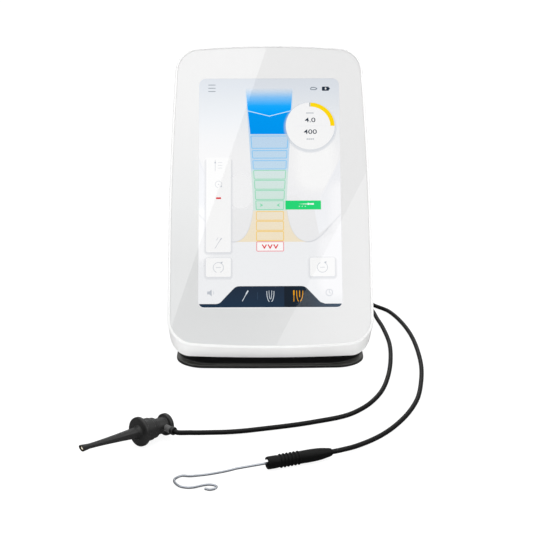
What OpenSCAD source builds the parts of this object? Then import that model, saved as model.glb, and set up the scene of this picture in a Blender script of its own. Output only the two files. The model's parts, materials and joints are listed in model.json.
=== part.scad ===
// Bench console of an endodontic motor with its measuring lead set plugged in.
// The glass face leans back over a low base; the leads lie on the table round the right side.
// Millimetres. +X right, +Y away from the user, +Z up.
// Origin: centre of the base footprint on the table.

/* [Console] */
// Lean of the glass face back from vertical, degrees
face_tilt = 29; // [28:0.5:30]
// Length of the glass up the face
face_length = 139.9; // [138:0.1:142]
// Width of the glass at its widest
face_width = 89.4; // [88:0.1:90]
// Height of the lower glass edge above the table
face_height = 16.9; // [16.5:0.1:17.5]
// Depth of the front shell, measured square to the glass
slab_depth = 18; // [17.8:0.1:18.4]
// Wall thickness of the shells
wall = 2.2; // [2:0.1:2.3]
// Width of the white lip round the glass
rim = 1.35; // [1.2:0.05:1.5]
// How far back the rear wall stands
rear_y = 42.7; // [42.5:0.1:43]

/* [Display] */
// Lit area across
lit_w = 64.8; // [60:0.1:65]
// Lit area up the face
lit_h = 108; // [100:1:108]
// Bottom of the lit area above the lower glass edge
lit_bottom = 16.8; // [16:0.1:17.5]

/* [Base] */
// Width of the base footprint
base_w = 87.3; // [86:0.1:88]
// Depth of the base footprint
base_d = 83; // [81:0.1:83.4]
// Plan corner radius of the base
base_r = 13.6; // [12:0.1:14]
// Thickness of the lower plate of the base
plate_h = 2.6; // [2.2:0.1:2.8]

/* [Leads] */
// Cable diameter
lead_d = 2.0; // [1.8:0.1:2.1]
// Diameter of the stainless hook wire
hook_d = 0.7; // [0.6:0.05:0.7]
// Finger flange diameter of the clip
flange_d = 11.8; // [11.4:0.1:11.8]

/* [Hidden] */
// Face frame: x across, "up" along the glass from its lower edge, "depth" square into the console
glass_y = -55.3; // lower glass edge
half_face = face_width / 2;
mid_face = face_length / 2;
edge_bow = 460; // radius of the bowed upper and lower glass edges
joint_depth = slab_depth - 0.02; // back edge of the front shell
lit_mid = lit_bottom + lit_h / 2;

// Depths of the layers behind the glass
glass_back = 1.1;
lcd_back = 3.5;
frame_back = 6.1;
bracket_back = 7.1;
board_front = 12.1;
board_back = 13.7;

// Heights above the table
keel_z = 5.5;    // underside of the rear shell
recess_z = 4.6;  // floor of the ballast recess
pocket_z = 9.5;  // roof of the pocket for the base neck
floor_z = 11.5;  // inner floor of the rear shell
pad_h = 1.4;

// Rear wall
rear_in = rear_y - wall; // inner face
rear_round = 9; // outer edge radius
socket_z = 32;
button_x = -23;
jack_x = -11.5;
charge_x = 2;
motor_x = 17;
window_w = 56;
window_h = 24;
speaker_z = 93;

// Screw places: [x, up] on the face, [x, y] in plan
boss_at = [[-39.4, 19], [39.4, 19], [-38.4, 121], [38.4, 121]];
post_at = [[-31, 27], [31, 27], [-31, 103], [31, 103]];
tab_at = [[-26, -31.6], [26, -31.6]];
foot_at = [[-33, -29], [33, -29], [-33, 29], [33, 29]];
base_screw_at = [[-24, -22], [24, -22], [-24, 24], [24, 24]];

// ---------- outlines and rings ----------
function face_point(x, up, depth) = [
  x,
  glass_y + up * sin(face_tilt) + depth * cos(face_tilt),
  face_height + up * cos(face_tilt) - depth * sin(face_tilt)];
function face_yz(up, depth) = let (point = face_point(0, up, depth)) [point[1], point[2]];

function arc(x, y, radius, start, steps = 5) = [for (i = [0:steps])
  [x + radius * cos(start + 90 * i / steps), y + radius * sin(start + 90 * i / steps)]];
function between(from, to, steps) = [for (i = [1:steps - 1]) from + (to - from) * i / steps];

// rounded outline, always 44 points so that any two can be skinned together
function round_box(half, low, high, low_r, high_r) = concat(
  arc(half - low_r, low + low_r, low_r, 270),
  between([half, low + low_r], [half, high - high_r], 7),
  arc(half - high_r, high - high_r, high_r, 0),
  between([half - high_r, high], [high_r - half, high], 5),
  arc(high_r - half, high - high_r, high_r, 90),
  between([-half, high - high_r], [-half, low + low_r], 7),
  arc(low_r - half, low + low_r, low_r, 180),
  between([low_r - half, low], [half - low_r, low], 5));

// 1 at the lower glass edge, fading to 0 at 45 up the face
function chin(up) = min(1, max(0, (45 - up) / 45));
// narrow towards the top and bow both ends; the lower bow flattens with depth
function warp(point, depth) = [
  point[0] * (1 - 0.0003 * pow(max(0, point[1] - 40), 2) / half_face),
  mid_face + (point[1] - mid_face)
    * (1 - (1 - 0.5 * depth / slab_depth * chin(point[1]))
      * point[0] * point[0] / (2 * edge_bow * mid_face))];
// glass outline grown by "grow", flat, as it is at a depth
function face_ring(grow, depth = 0) = let (
    inside = max(0, depth),
    box = round_box(half_face + grow, -grow, face_length + grow,
      10 + grow - 0.11 * inside, 9 + grow))
  [for (point = box) warp(point, inside)];
// the lower wall drops a little as it goes back
function drop(up, depth) = up - 0.105 * max(0, depth - 1.5) * pow(chin(up), 2);
function shell_ring(grow, depth) = [for (point = face_ring(grow, depth))
  face_point(point[0], drop(point[1], depth), depth)];
// opening in the front shell behind the glass
function window_ring(depth) = [for (point = round_box(36.2, 12.4, 129.2, 3, 3))
  face_point(point[0], point[1], depth)];
// upright outline of the rear shell shrunk by inset, at a given y
function rear_ring(inset, y) = let (
    box = round_box(44 - inset, keel_z + inset, 128.5 - inset,
      max(1, 5 - inset / 3), max(2, 11 - inset / 2)))
  [for (point = box) [point[0], y, point[1]]];
function mix(first, second, share) =
  [for (i = [0:len(first) - 1]) first[i] * (1 - share) + second[i] * share];
// from a front ring back to the rear wall, ending in a rounded edge
function rear_rings(front, inset, radius, angles) = let (
    round_y = rear_y - rear_round,
    back = rear_ring(inset, round_y))
  concat([front, mix(front, back, 0.33), mix(front, back, 0.67), back],
    [for (angle = angles)
      rear_ring(inset + radius * (1 - cos(angle)), round_y + radius * sin(angle))]);

// skin through rings; loop = closed tunnel, otherwise both ends capped
module skin(rings, loop = false) {
  count = len(rings);
  size = len(rings[0]);
  sides = [for (i = [0:loop ? count - 1 : count - 2]) for (j = [0:size - 1])
    let (
      here = i * size,
      next = ((i + 1) % count) * size,
      turn = (j + 1) % size)
    each [[here + j, here + turn, next + turn], [here + j, next + turn, next + j]]];
  caps = loop ? [] : [
    [for (j = [size - 1:-1:0]) j],
    [for (j = [0:size - 1]) (count - 1) * size + j]];
  polyhedron(points = [for (ring = rings) each ring], faces = concat(sides, caps), convexity = 8);
}

// ---------- cables ----------
function unit(vector) = vector / norm(vector);
// Catmull-Rom point at share u between way-points i and i + 1
function spline(points, i, u) = let (
    before = points[max(0, i - 1)],
    start = points[i],
    end = points[i + 1],
    after = points[min(len(points) - 1, i + 2)])
  0.5 * (2 * start + (end - before) * u
    + (2 * before - 5 * start + 4 * end - after) * u * u
    + (3 * start - before - 3 * end + after) * u * u * u);
function smooth(points, steps) = concat(
  [for (i = [0:len(points) - 2]) for (j = [0:steps - 1]) spline(points, i, j / steps)],
  [points[len(points) - 1]]);
// smooth all but the straight first and last lengths
function cable(points, steps) = let (last = len(points) - 1) concat(
  [points[0]], smooth([for (i = [1:last - 1]) points[i]], steps), [points[last]]);
function tangents(points) = [for (i = [0:len(points) - 1])
  unit(points[min(len(points) - 1, i + 1)] - points[max(0, i - 1)])];
// carry a side vector along the tangents without twist
function carry(along, i, side, done) = i >= len(along) ? done
  : let (square = unit(side - (side * along[i]) * along[i]))
    carry(along, i + 1, square, concat(done, [square]));
module sweep(points, radius, sides, first_side) {
  along = tangents(points);
  normals = carry(along, 0, first_side, []);
  skin([for (i = [0:len(points) - 1]) let (across = cross(along[i], normals[i]))
    [for (j = [0:sides - 1]) points[i]
      + radius * (normals[i] * cos(360 * j / sides) + across * sin(360 * j / sides))]]);
}

// ---------- placing helpers ----------
// lay children in the tilted face: x across, y up the glass, -z into the console
module in_face()
  translate([0, glass_y, face_height]) rotate([90 - face_tilt, 0, 0]) children();
// box and pin in the face, between two depths
module face_box(x, up, width, height, from, to)
  in_face() translate([x - width / 2, up - height / 2, -to]) cube([width, height, to - from]);
module face_pin(x, up, radius, from, to, sides = 32)
  in_face() translate([x, up, -to]) cylinder(r = radius, h = to - from, $fn = sides);
// pin and box along +Y, between two y values
module rear_pin(x, radius, from, to, z = socket_z)
  translate([x, from, z]) rotate([-90, 0, 0]) cylinder(r = radius, h = to - from, $fn = 48);
module rear_box(x, width, height, from, to, z = socket_z)
  translate([x - width / 2, from, z - height / 2]) cube([width, to - from, height]);
// box centred in plan
module plan_box(width, depth, z, height)
  translate([-width / 2, -depth / 2, z]) cube([width, depth, height]);
// side profile extruded along +X
module profile_x(points, x, width)
  translate([x, 0, 0]) rotate([90, 0, 90]) linear_extrude(width) polygon(points);

// screws driven from behind: tip, seat and head top are depths
module face_screws(places, shank_r, head_r, tip, seat, top) for (at = places) union() {
  face_pin(at[0], at[1], shank_r, tip, seat);
  face_pin(at[0], at[1], head_r, seat, top);
}
// screws driven from below: head, seat and tip are heights
module upward_screws(places, shank_r, head_r, head_z, seat_z, tip_z)
  for (at = places) translate([at[0], at[1], 0]) union() {
    translate([0, 0, head_z]) cylinder(r = head_r, h = seat_z - head_z, $fn = 32);
    translate([0, 0, seat_z]) cylinder(r = shank_r, h = tip_z - seat_z, $fn = 32);
  }

// ---------- display stack ----------
module cover_glass() color("#dfe2e4")
  in_face() translate([0, 0, -glass_back]) linear_extrude(glass_back) polygon(face_ring(0));

module glass_adhesive() color("#202225")
  in_face() translate([0, 0, -1.29]) linear_extrude(0.18) difference() {
    polygon(face_ring(-0.8));
    polygon(face_ring(-3.2));
  }

module lcd_panel() color("#c9d6e6")
  face_box(0, lit_mid, lit_w + 5.6, lit_h + 6, glass_back, lcd_back);

module backlight_frame() color("#b9bcc0") difference() {
  face_box(0, lit_mid, 71.2, 115.2, lcd_back, frame_back);
  face_box(0, lit_mid, 60, 104, 5.5, 6.2);
}

module display_bracket() color("#a7abb0") difference() {
  face_box(0, 70, 82, 116, frame_back, bracket_back);
  face_box(0, 70, 44, 64, 6, 7.2);
  for (at = boss_at) face_pin(at[0], at[1], 1.2, 6, 7.2);
}

module display_screws() color("#8e9297")
  face_screws(boss_at, shank_r = 1.0, head_r = 1.9, tip = 4.2, seat = bracket_back, top = 8.2);

// folded strip from the display to the back of the board: [up, -depth]
ribbon_profile = [
  [13.2, -4.4], [10.2, -4.4], [9.4, -5.2], [9.4, -15.2], [10.2, -16.1], [24, -16.1],
  [24, -15.8], [10.4, -15.8], [9.7, -15.1], [9.7, -5.3], [10.3, -4.7], [13.2, -4.7]];
module display_ribbon() color("#c27a32") in_face() profile_x(ribbon_profile, -10, 20);

// ---------- shells ----------
tab_w = 8;

// resize([0, 0, 0]) here and below leaves the size unchanged
module front_housing() color("#f4f5f6") resize([0, 0, 0]) union() {
  difference() {
    union() {
      // wall section: lip, outside, stepped joint, inside, window edge
      skin([
        shell_ring(0.15, 1.3), shell_ring(0.15, 0.1), shell_ring(0.45, -0.25),
        shell_ring(0.85, -0.3), shell_ring(rim - 0.12, 0.1), shell_ring(rim, 0.9),
        shell_ring(rim, 6), shell_ring(rim, 12), shell_ring(rim, joint_depth),
        shell_ring(0.8, joint_depth), shell_ring(0.8, slab_depth - 0.8),
        shell_ring(-0.2, slab_depth - 0.8), shell_ring(-0.2, joint_depth),
        shell_ring(rim - wall, joint_depth), shell_ring(rim - wall, 10),
        shell_ring(rim - wall, 3.2), window_ring(3.2), window_ring(1.3)], true);
      for (at = boss_at) face_pin(at[0], at[1], 2.6, 2.9, frame_back, sides = 20);
      // screw tabs over the floor, each tied to the lower wall
      for (at = tab_at) {
        translate([at[0] - tab_w / 2, -37.4, floor_z + 0.05]) cube([tab_w, 9.4, 5]);
        in_face() translate([at[0] - tab_w / 2, -0.5, 0.1 - slab_depth]) cube([tab_w, 9.3, 5.9]);
      }
    }
    for (at = boss_at) face_pin(at[0], at[1], 1.1, 3.6, 6.2, sides = 16);
    for (at = tab_at) translate([at[0], at[1], floor_z - 1]) cylinder(r = 1.35, h = 5.6, $fn = 16);
  }
}

// ring in the step of the joint
module housing_seal() color("#3b3d40") skin([
  shell_ring(0.75, joint_depth), shell_ring(-0.15, joint_depth),
  shell_ring(-0.15, slab_depth - 0.74), shell_ring(0.75, slab_depth - 0.74)], true);

module rear_housing() color("#f1f2f3") resize([0, 0, 0]) difference() {
  skin(rear_rings(shell_ring(rim, slab_depth), 0, rear_round, [22.5, 45, 67.5, 90]));
  // hollow above the floor
  intersection() {
    skin(rear_rings(shell_ring(rim - wall, slab_depth - 1.5),
      wall, rear_round - wall, [30, 60, 90]));
    translate([-60, -60, floor_z]) cube([120, 120, 130]);
  }
  // pocket that takes the neck of the base
  translate([0, neck_shift, -1]) linear_extrude(pocket_z + 1) neck_plan(0.15);
  // window for the socket panel
  rear_box(0, window_w, window_h, rear_in - 1, rear_y + 1);
  // slots behind the loudspeaker
  for (i = [-2:2])
    rear_box(i * 4.6, 2, 18 - abs(i) * 3, rear_in - 1, rear_y + 1, speaker_z);
  for (at = tab_at) translate([at[0], at[1], pocket_z - 1]) cylinder(r = 1.45, h = 4, $fn = 16);
  for (at = base_screw_at)
    translate([at[0], at[1], pocket_z - 1]) cylinder(r = 1.6, h = 4, $fn = 16);
}

module housing_screws() color("#8e9297")
  upward_screws(tab_at, shank_r = 1.25, head_r = 2.5,
    head_z = pocket_z - 1.9, seat_z = pocket_z, tip_z = pocket_z + 6);

// ---------- electronics ----------
module board_standoffs() color("#c8a24a")
  for (at = post_at) in_face() translate([at[0], at[1], -board_front]) difference() {
    cylinder(r = 2.6, h = board_front - bracket_back, $fn = 6);
    translate([0, 0, -1]) cylinder(r = 1.3, h = 7, $fn = 32);
  }

module main_board() color("#1f6b45") difference() {
  face_box(0, 65, 72, 92, board_front, board_back);
  for (at = post_at) face_pin(at[0], at[1], 1.35, 12, 13.8);
}

module board_screws() color("#8e9297")
  face_screws(post_at, shank_r = 1.2, head_r = 2.1, tip = 8.2, seat = board_back, top = 15.1);

// parts on the back of the board: [x, up, width, height, back depth]
parts = [
  [0, 22, 22, 4, 15.8], [-9, 66, 15, 15, 15.1], [-12, 44, 9, 12, 15.0], [12, 84, 11, 9, 15.0],
  [18, 60, 11, 5, 16.7], [22, 44, 7, 7, 17.4], [-24, 60, 4, 10, 18]];
module board_parts() color("#26282b") {
  for (part = parts) face_box(part[0], part[1], part[2], part[3], board_back, part[4]);
  for (i = [0:2]) face_pin(8 + i * 8, 32, 3.1, board_back, 19.5);
}

module wireless_module() color("#b6babd") {
  face_box(-16, 92, 16, 22, board_back, 14.5);
  face_box(-16, 90, 13, 15, 14.5, 16.3);
}

// strip from the main board to the socket board: [y, z]
harness_profile = [
  [25.35, 41.2], [19.1, 46.6], face_yz(56.6, 16.75), face_yz(62.4, 16.75),
  face_yz(62.4, 17.05), face_yz(57.6, 17.05), [19.2, 47.0], [25.35, 41.6]];
module io_harness() color("#c27a32") profile_x(harness_profile, 13, 10);

// ---------- power ----------
cell_y = 9.6; // each cell lies this far off centre
cell_z = 22.4;

module cell_pair(radius, length) for (y = [-cell_y, cell_y])
  translate([-length / 2, y, cell_z]) rotate([0, 90, 0]) cylinder(r = radius, h = length, $fn = 64);

module battery_cells() color("#3567a8") cell_pair(9.2, 65);

module battery_holder() color("#1d1f21") difference() {
  plan_box(70, 40.4, floor_z, 9);
  cell_pair(9.3, 66.4);
  plan_box(66.4, 37.8, floor_z + 6, 4);
}

module battery_contacts() color("#c9ccd0")
  for (i = [-1, 1]) translate([i * 32.85 - 0.3, -14, floor_z + 6.02]) cube([0.6, 28, 7]);

module battery_lead() color("#b3272b") for (i = [0, 1])
  sweep(smooth([
    [33.95, -12 + i * 4, 22.5], [34.3, -12.6 + i * 4, 31], [33 - i * 2, -14 + i * 2, 38],
    [28 - i * 2, -16 + i * 1.5, 42], face_point(24 - i * 2.4, 44, 18.3)], 4), 0.7, 8, [1, 0, 0]);

// ---------- loudspeaker ----------
speaker_r = 14;
gasket_y = rear_in - 0.9; // front of the gasket
rim_y = gasket_y - 2.3; // front of the speaker rim

module speaker() color("#2b2d30") union() {
  rear_pin(0, speaker_r, rim_y, gasket_y, speaker_z);
  rear_pin(0, 10, rear_in - 6, rim_y, speaker_z);
}

module speaker_gasket() color("#17181a") difference() {
  rear_pin(0, speaker_r, gasket_y, rear_in, speaker_z);
  rear_pin(0, 12.2, rear_in - 1, rear_in + 1, speaker_z);
}

// ---------- rear panel ----------
io_y = 27; // rear side of the socket board
pins_y = 32.2; // front of the motor socket insulator
pins_end_y = 34.7;
tongue_y = 33; // front of the charge port cavity
flange_y = rear_in - 2.1; // rear of the button flange
stem_y = 33.5; // where the button meets the switch stem

module io_panel() color("#2a2c2f") difference() {
  union() {
    rear_box(0, window_w - 0.2, window_h - 0.2, rear_in, rear_y);
    rear_box(0, 61, 29, rear_in - 2, rear_in);
  }
  rear_pin(motor_x, 7.05, rear_in - 3, rear_y + 1);
  rear_pin(jack_x, 4.55, rear_in - 3, rear_y + 1);
  rear_pin(button_x, 3.55, rear_in - 3, rear_y + 1);
  rear_box(charge_x, 9.5, 3.9, rear_in - 3, rear_in + 5);
}

module io_board() color("#1f6b45") rear_box(0, window_w, window_h, io_y - 1.6, io_y);

module motor_socket() color("#c4c7ca") difference() {
  union() {
    rear_pin(motor_x, 7, io_y, rear_y + 1);
    rear_pin(motor_x, 8, rear_y, rear_y + 0.8);
  }
  rear_pin(motor_x, 4.5, pins_end_y, rear_y + 2);
  rear_pin(motor_x, 4.3, pins_y, 35);
}

// six pins on a circle of radius 2.5
module contact_ring(from, to) for (i = [0:5])
  rear_pin(motor_x + 2.5 * cos(60 * i), 0.5, from, to, socket_z + 2.5 * sin(60 * i));

module socket_insulator() color("#e3e1d8") difference() {
  rear_pin(motor_x, 4.3, pins_y, pins_end_y);
  contact_ring(32, 35);
}

module socket_contacts() color("#d4af37") contact_ring(pins_y, pins_end_y);

module charge_port() color("#b9bcc0") difference() {
  rear_box(charge_x, 9.2, 3.6, io_y, rear_y);
  rear_box(charge_x, 8.4, 2.8, tongue_y, 45);
}

module charge_tongue() color("#141516") rear_box(charge_x, 6.6, 0.7, tongue_y, 40.5);

module measuring_jack() color("#303236") difference() {
  rear_pin(jack_x, 4.5, io_y, rear_y + 0.2);
  rear_pin(jack_x, 1.8, io_y + 0.9, rear_y + 1);
}

module power_button() color("#e9eaec") union() {
  rear_pin(button_x, 3.45, flange_y, rear_y + 1.4);
  rear_pin(button_x, 4.4, flange_y - 1.1, flange_y);
  rear_pin(button_x, 1.2, stem_y, flange_y - 1.1);
}

module power_switch() color("#1b1c1e") difference() {
  rear_box(button_x, 6, 6, io_y, io_y + 3.6);
  rear_pin(button_x, 1.0, 27.6, 31);
}

module switch_stem() color("#d9dbdd") rear_pin(button_x, 0.95, 28.6, stem_y);

// ---------- base ----------
neck_shift = 0.6; // the neck sits this far back
recess_gap = 0.5; // round the ballast plate

module rounded(width, depth, radius) {
  square([width - 2 * radius, depth], center = true);
  square([width, depth - 2 * radius], center = true);
  for (i = [-1, 1], j = [-1, 1])
    translate([i * (width / 2 - radius), j * (depth / 2 - radius)]) circle(r = radius, $fn = 64);
}

// plan with wide front corners, grown by gap
module curved_plan(half, front_y, front_r, rear_r, front_sides, gap = 0) hull() {
  for (i = [-1, 1])
    translate([i * (half - front_r), front_y + front_r]) circle(r = front_r + gap, $fn = front_sides);
  for (i = [-1, 1]) translate([i * 30, 26.6]) circle(r = rear_r + gap, $fn = 48);
}
module neck_plan(gap = 0) curved_plan(42.2, -39.2, 28, 12.2, 72, gap);
// collar below the shell, set back from the edge of the plate
module collar_plan() curved_plan(42.6, -40.2, 17, 12.6, 48);

module base_foot() color("#1b1b1c") resize([0, 0, 0]) difference() {
  union() {
    // lower plate with eased edges
    hull() {
      linear_extrude(0.5) rounded(base_w - 0.5, base_d - 0.5, base_r - 0.25);
      translate([0, 0, 0.5]) linear_extrude(plate_h - 1.4) rounded(base_w, base_d, base_r);
      translate([0, 0, plate_h - 0.3]) linear_extrude(0.3)
        rounded(base_w - 1.6, base_d - 1.6, base_r - 0.8);
    }
    translate([0, neck_shift, 1]) linear_extrude(pocket_z - 1) neck_plan();
    translate([0, 0, 1]) linear_extrude(keel_z - 1.15) collar_plan();
  }
  // ballast recess
  translate([-31, -26, recess_z]) cube([62, 54, 8]);
  for (at = foot_at) translate([at[0], at[1], -1]) cylinder(r = 5.1, h = pad_h + 1, $fn = 32);
  for (at = base_screw_at) translate([at[0], at[1], -1]) {
    cylinder(r = 1.6, h = 12, $fn = 20);
    cylinder(r = 3.1, h = 3.2, $fn = 24);
  }
  // room for the housing screw heads
  for (at = tab_at) translate([at[0], at[1], pocket_z - 2.4]) cylinder(r = 3, h = 4, $fn = 24);
}

module ballast_plate() color("#6f7479") difference() {
  translate([recess_gap - 31, recess_gap - 26, recess_z])
    cube([62 - 2 * recess_gap, 54 - 2 * recess_gap, pocket_z - recess_z]);
  for (at = base_screw_at) translate([at[0], at[1], 4]) cylinder(r = 1.7, h = 8, $fn = 32);
}

module base_screws() color("#8e9297")
  upward_screws(base_screw_at, shank_r = 1.45, head_r = 2.8,
    head_z = 0.7, seat_z = 2.2, tip_z = floor_z);

module foot_pads() color("#101011")
  for (at = foot_at) translate([at[0], at[1], 0]) cylinder(r = 5, h = pad_h, $fn = 48);

// ---------- measuring plug ----------
grip_y = rear_y + 0.3; // front of the grip
boot_y = rear_y + 15;
boot_length = 9;

// four cutters for grooves round the plug; the core overlaps each by "over"
module grooves(start, pitch, width, core_r, over) for (i = [0:3]) difference() {
  rear_pin(jack_x, 5, start + i * pitch, start + width + i * pitch);
  rear_pin(jack_x, core_r, start - over + i * pitch, start + width + over + i * pitch);
}

module plug_grip() color("#1c1d1f") difference() {
  rear_pin(jack_x, 4.2, grip_y, boot_y);
  grooves(start = rear_y + 4, pitch = 2.4, width = 1, core_r = 3.8, over = 0.5);
}

module plug_pin() color("#c9a24c") union() {
  rear_pin(jack_x, 1.75, rear_y - 13, grip_y);
  rear_pin(jack_x, 1.3, rear_y - 13.6, rear_y - 13);
}

module plug_boot() color("#1c1d1f") difference() {
  translate([jack_x, boot_y, socket_z]) rotate([-90, 0, 0])
    cylinder(r1 = 3.2, r2 = 1.8, h = boot_length, $fn = 48);
  grooves(start = rear_y + 17, pitch = 1.6, width = 0.7, core_r = 1.5, over = 1);
}

// ---------- leads ----------
lead_r = lead_d / 2; // also the height of a lead lying on the table
splitter_in = [19.4, 64, 1.9];
function splitter_out(side) = [32, splitter_in[1] + side * 2.6, 1.7];

clip_origin = [-52.6, -120.05, 5.96]; // centre of the finger flange
clip_turn = 180 + 45.7;
clip_rise = 5.85; // degrees, nose up
holder_origin = [22.76, -132.15, 2.72]; // rear end of the hook holder
holder_turn = 20.3;

// way-points [x, y, z]
main_path = [
  [jack_x, boot_y + boot_length, socket_z], [jack_x, rear_y + 25.2, socket_z],
  [jack_x, rear_y + 27.6, socket_z - 0.6], [jack_x, 75, socket_z - 3], [jack_x + 1, 80.5, 21],
  [jack_x + 4, 81, 11.5], [jack_x + 9, 78, 4.6], [jack_x + 15.5, 72.5, 1.6], [8, 67.5, 1.2],
  [15, 64.6, 1.6], [18.2, 64, 1.9], splitter_in];
clip_path = [
  splitter_out(-1), [32.8, 61.4, 1.7], [37, 60.2, 1.2], [44, 54.5, lead_r], [50, 45, lead_r],
  [53.4, 34, lead_r], [54.8, 22, lead_r], [56.6, 7, lead_r], [57.5, -13, lead_r],
  [56, -33, lead_r], [53, -52, lead_r], [48.6, -68.8, lead_r], [42.6, -81.8, lead_r],
  [35.9, -90.7, lead_r], [29.2, -96.1, lead_r], [19.2, -100.4, lead_r], [9, -104, lead_r],
  [-5, -107.75, lead_r], [-11.8, -109.8, 1.2], [-18.7, -112.1, 1.8], [-25.3, -114.5, 2.8],
  [-29.7, -116.1, 3.5], [-33.4, -117.5, 4.2], [-36, -118.4, 4.6], [-37.6, -118.6, 4.78],
  [-38.94, -117.71, 4.8], [-39.88, -116.79, 4.8]];
hook_path = [
  splitter_out(1), [32.8, 66.6, 1.7], [38, 64.8, 1.2], [46, 57, lead_r], [51, 49, lead_r],
  [55.6, 41, lead_r], [62, 32, lead_r], [66.6, 16, lead_r], [69.2, -2, lead_r],
  [69.9, -21, lead_r], [69.2, -41, lead_r], [66.8, -59.5, lead_r], [63.2, -76.8, lead_r],
  [58, -91, lead_r], [52, -102.5, lead_r], [45.8, -111.6, lead_r], [39.5, -118.4, lead_r],
  [33, -124.6, 1.5], [28.4, -129, 2.4], [24.1, -131.65, 2.72], [22.3, -132.32, 2.72]];

module main_lead() color("#161718") sweep(cable(main_path, 4), lead_r + 0.15, 12, [1, 0, 0]);

module lead_splitter() color("#1c1d1f") resize([0, 0, 0]) hull() {
  translate(splitter_in) rotate([0, 90, 0]) cylinder(r = 1.8, h = 1, $fn = 20);
  for (i = [-1, 1])
    translate(splitter_out(i) - [1, 0, 0]) rotate([0, 90, 0]) cylinder(r = 1.7, h = 1, $fn = 20);
}

module clip_lead() color("#161718") sweep(cable(clip_path, 2), lead_r, 12, [0, 0, 1]);

module hook_lead() color("#161718") sweep(cable(hook_path, 2), lead_r, 12, [0, 0, 1]);

// ---------- clip ----------
flange_r = flange_d / 2;
wire_start = -6.4; // hook wire along the clip axis
wire_end = 27;
curl_r = 0.45;

// local z runs from the flange to the nose
module on_clip()
  translate(clip_origin) rotate([0, 0, clip_turn]) rotate([0, 90 - clip_rise, 0]) children();
// local z runs out of the side of the plunger, towards the lead
module on_stub()
  translate([0, 0, -11.3]) rotate([0, 90, 0]) rotate([-90, 0, 0]) children();

// [radius, along the axis]
clip_profile = [
  [0.5, 1.6], [0.5, 25.9], [0.95, 26.1], [1.12, 28.3], [1.3, 28.4], [1.38, 28.1], [1.18, 26.6],
  [1.02, 25.2], [1.09, 22], [1.4, 15.2], [1.83, 8.1], [2.3, 2.2], [2.6, 1.2], [2.9, 0.9],
  [flange_r - 0.3, 0.9], [flange_r, 0.6], [flange_r, -0.6], [flange_r - 0.3, -0.9],
  [4.75, -0.9], [4.75, -1.8], [4.5, -2.1], [4.5, -5.0], [4.15, -5.35], [4.15, -7.1],
  [3.9, -7.4], [3.38, -7.4], [3.38, -0.1], [2.9, 0.4], [1.6, 0.4], [1.6, 1.6]];
plunger_profile = [
  [0, -5.2], [3.28, -5.2], [3.28, -12.6], [4.3, -12.7], [4.5, -12.95], [4.5, -14.3],
  [4.25, -14.55], [0, -14.55]];

module clip_body() color("#1e1f21") on_clip() rotate_extrude($fn = 64) polygon(clip_profile);

module clip_plunger() color("#202123") on_clip() difference() {
  union() {
    rotate_extrude($fn = 64) polygon(plunger_profile);
    on_stub() translate([0, 0, 2]) cylinder(r = 1.45, h = 6, $fn = 48);
  }
  translate([0, 0, wire_start]) cylinder(r = 0.42, h = 2, $fn = 24);
  on_stub() translate([0, 0, 6.8]) cylinder(r = 1.06, h = 2, $fn = 48);
}

module clip_hook() color("#c9a24c") on_clip() union() {
  translate([0, 0, wire_start]) cylinder(r = 0.4, h = wire_end - wire_start, $fn = 32);
  translate([curl_r, 0, wire_end]) rotate([90, 0, 0]) rotate_extrude(angle = 180, $fn = 32)
    translate([curl_r, 0]) circle(r = 0.14, $fn = 16);
}

module clip_spring() color("#b9bcc0") on_clip() sweep(
  [for (i = [0:60]) [2.6 * cos(i * 27), 2.6 * sin(i * 27), -4.9 + i * 4.95 / 60]],
  0.25, 6, [1, 0, 0]);

// ---------- hook holder ----------
// local z runs from the rear end of the holder to its open front
module on_holder()
  translate(holder_origin) rotate([0, 0, 180 + holder_turn]) rotate([0, 90, 0]) children();

// [radius, along the axis]
holder_ribs = [for (i = [0:5]) let (start = 13.65 + i * 1.45)
  each [[2.38, start], [2.68, start + 0.25], [2.68, start + 0.65], [2.38, start + 0.9]]];
holder_profile = concat(
  [[0, 0.6], [1.02, 0.6], [1.02, 0], [1.2, 0], [1.45, 0.25], [1.66, 0.9], [1.86, 2.2],
   [2.27, 4.5], [2.47, 7.6], [2.5, 10.6], [2.46, 13.2]],
  holder_ribs,
  [[2.44, 22.8], [2.48, 24], [2.46, 26.5], [2.1, 26.95], [1.75, 26.95], [1.75, 22],
   [1.42, 22], [1.42, 9], [0, 9]]);

module hook_holder() color("#1e1f21") on_holder() difference() {
  rotate_extrude($fn = 64) polygon(holder_profile);
  translate([-0.7, -3, 22.9]) cube([1.4, 3, 5]);
}

module holder_contact() color("#b9bcc0") on_holder() difference() {
  translate([0, 0, 9.4]) cylinder(r = 1.37, h = 12.4, $fn = 48);
  translate([0, 0, 10.4]) cylinder(r = hook_d / 2 + 0.06, h = 12, $fn = 32);
}

// straight shank along the holder axis, then the bent wire: [x, y, z]
function shank(along) =
  holder_origin + along * [-cos(holder_turn), -sin(holder_turn), 0];
bend_path = [
  shank(39), [-18.3, -147.2, 2.3], [-24.7, -148.2, 1.6], [-31, -147.9, 0.8],
  [-34.4, -147, 0.5], [-36.6, -148.9, 0.42], [-37.1, -150.9, 0.42], [-36.4, -153.1, 0.42],
  [-34.6, -155.4, 0.42], [-32, -156.4, 0.45], [-29.6, -156.4, 0.6], [-26.8, -155.7, 0.9],
  [-24.2, -155.3, 1.1], [-22, -155.8, 1.1], [-21.1, -156.7, 0.9], [-21.9, -157.8, 0.7],
  [-23.6, -158.1, 0.5], [-25.4, -157.3, 0.45]];
module lip_hook() color("#c3c6c9")
  sweep(concat([shank(11), shank(26.3), shank(37)], smooth(bend_path, 3)),
    hook_d / 2, 8, [0, 0, 1]);

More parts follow.
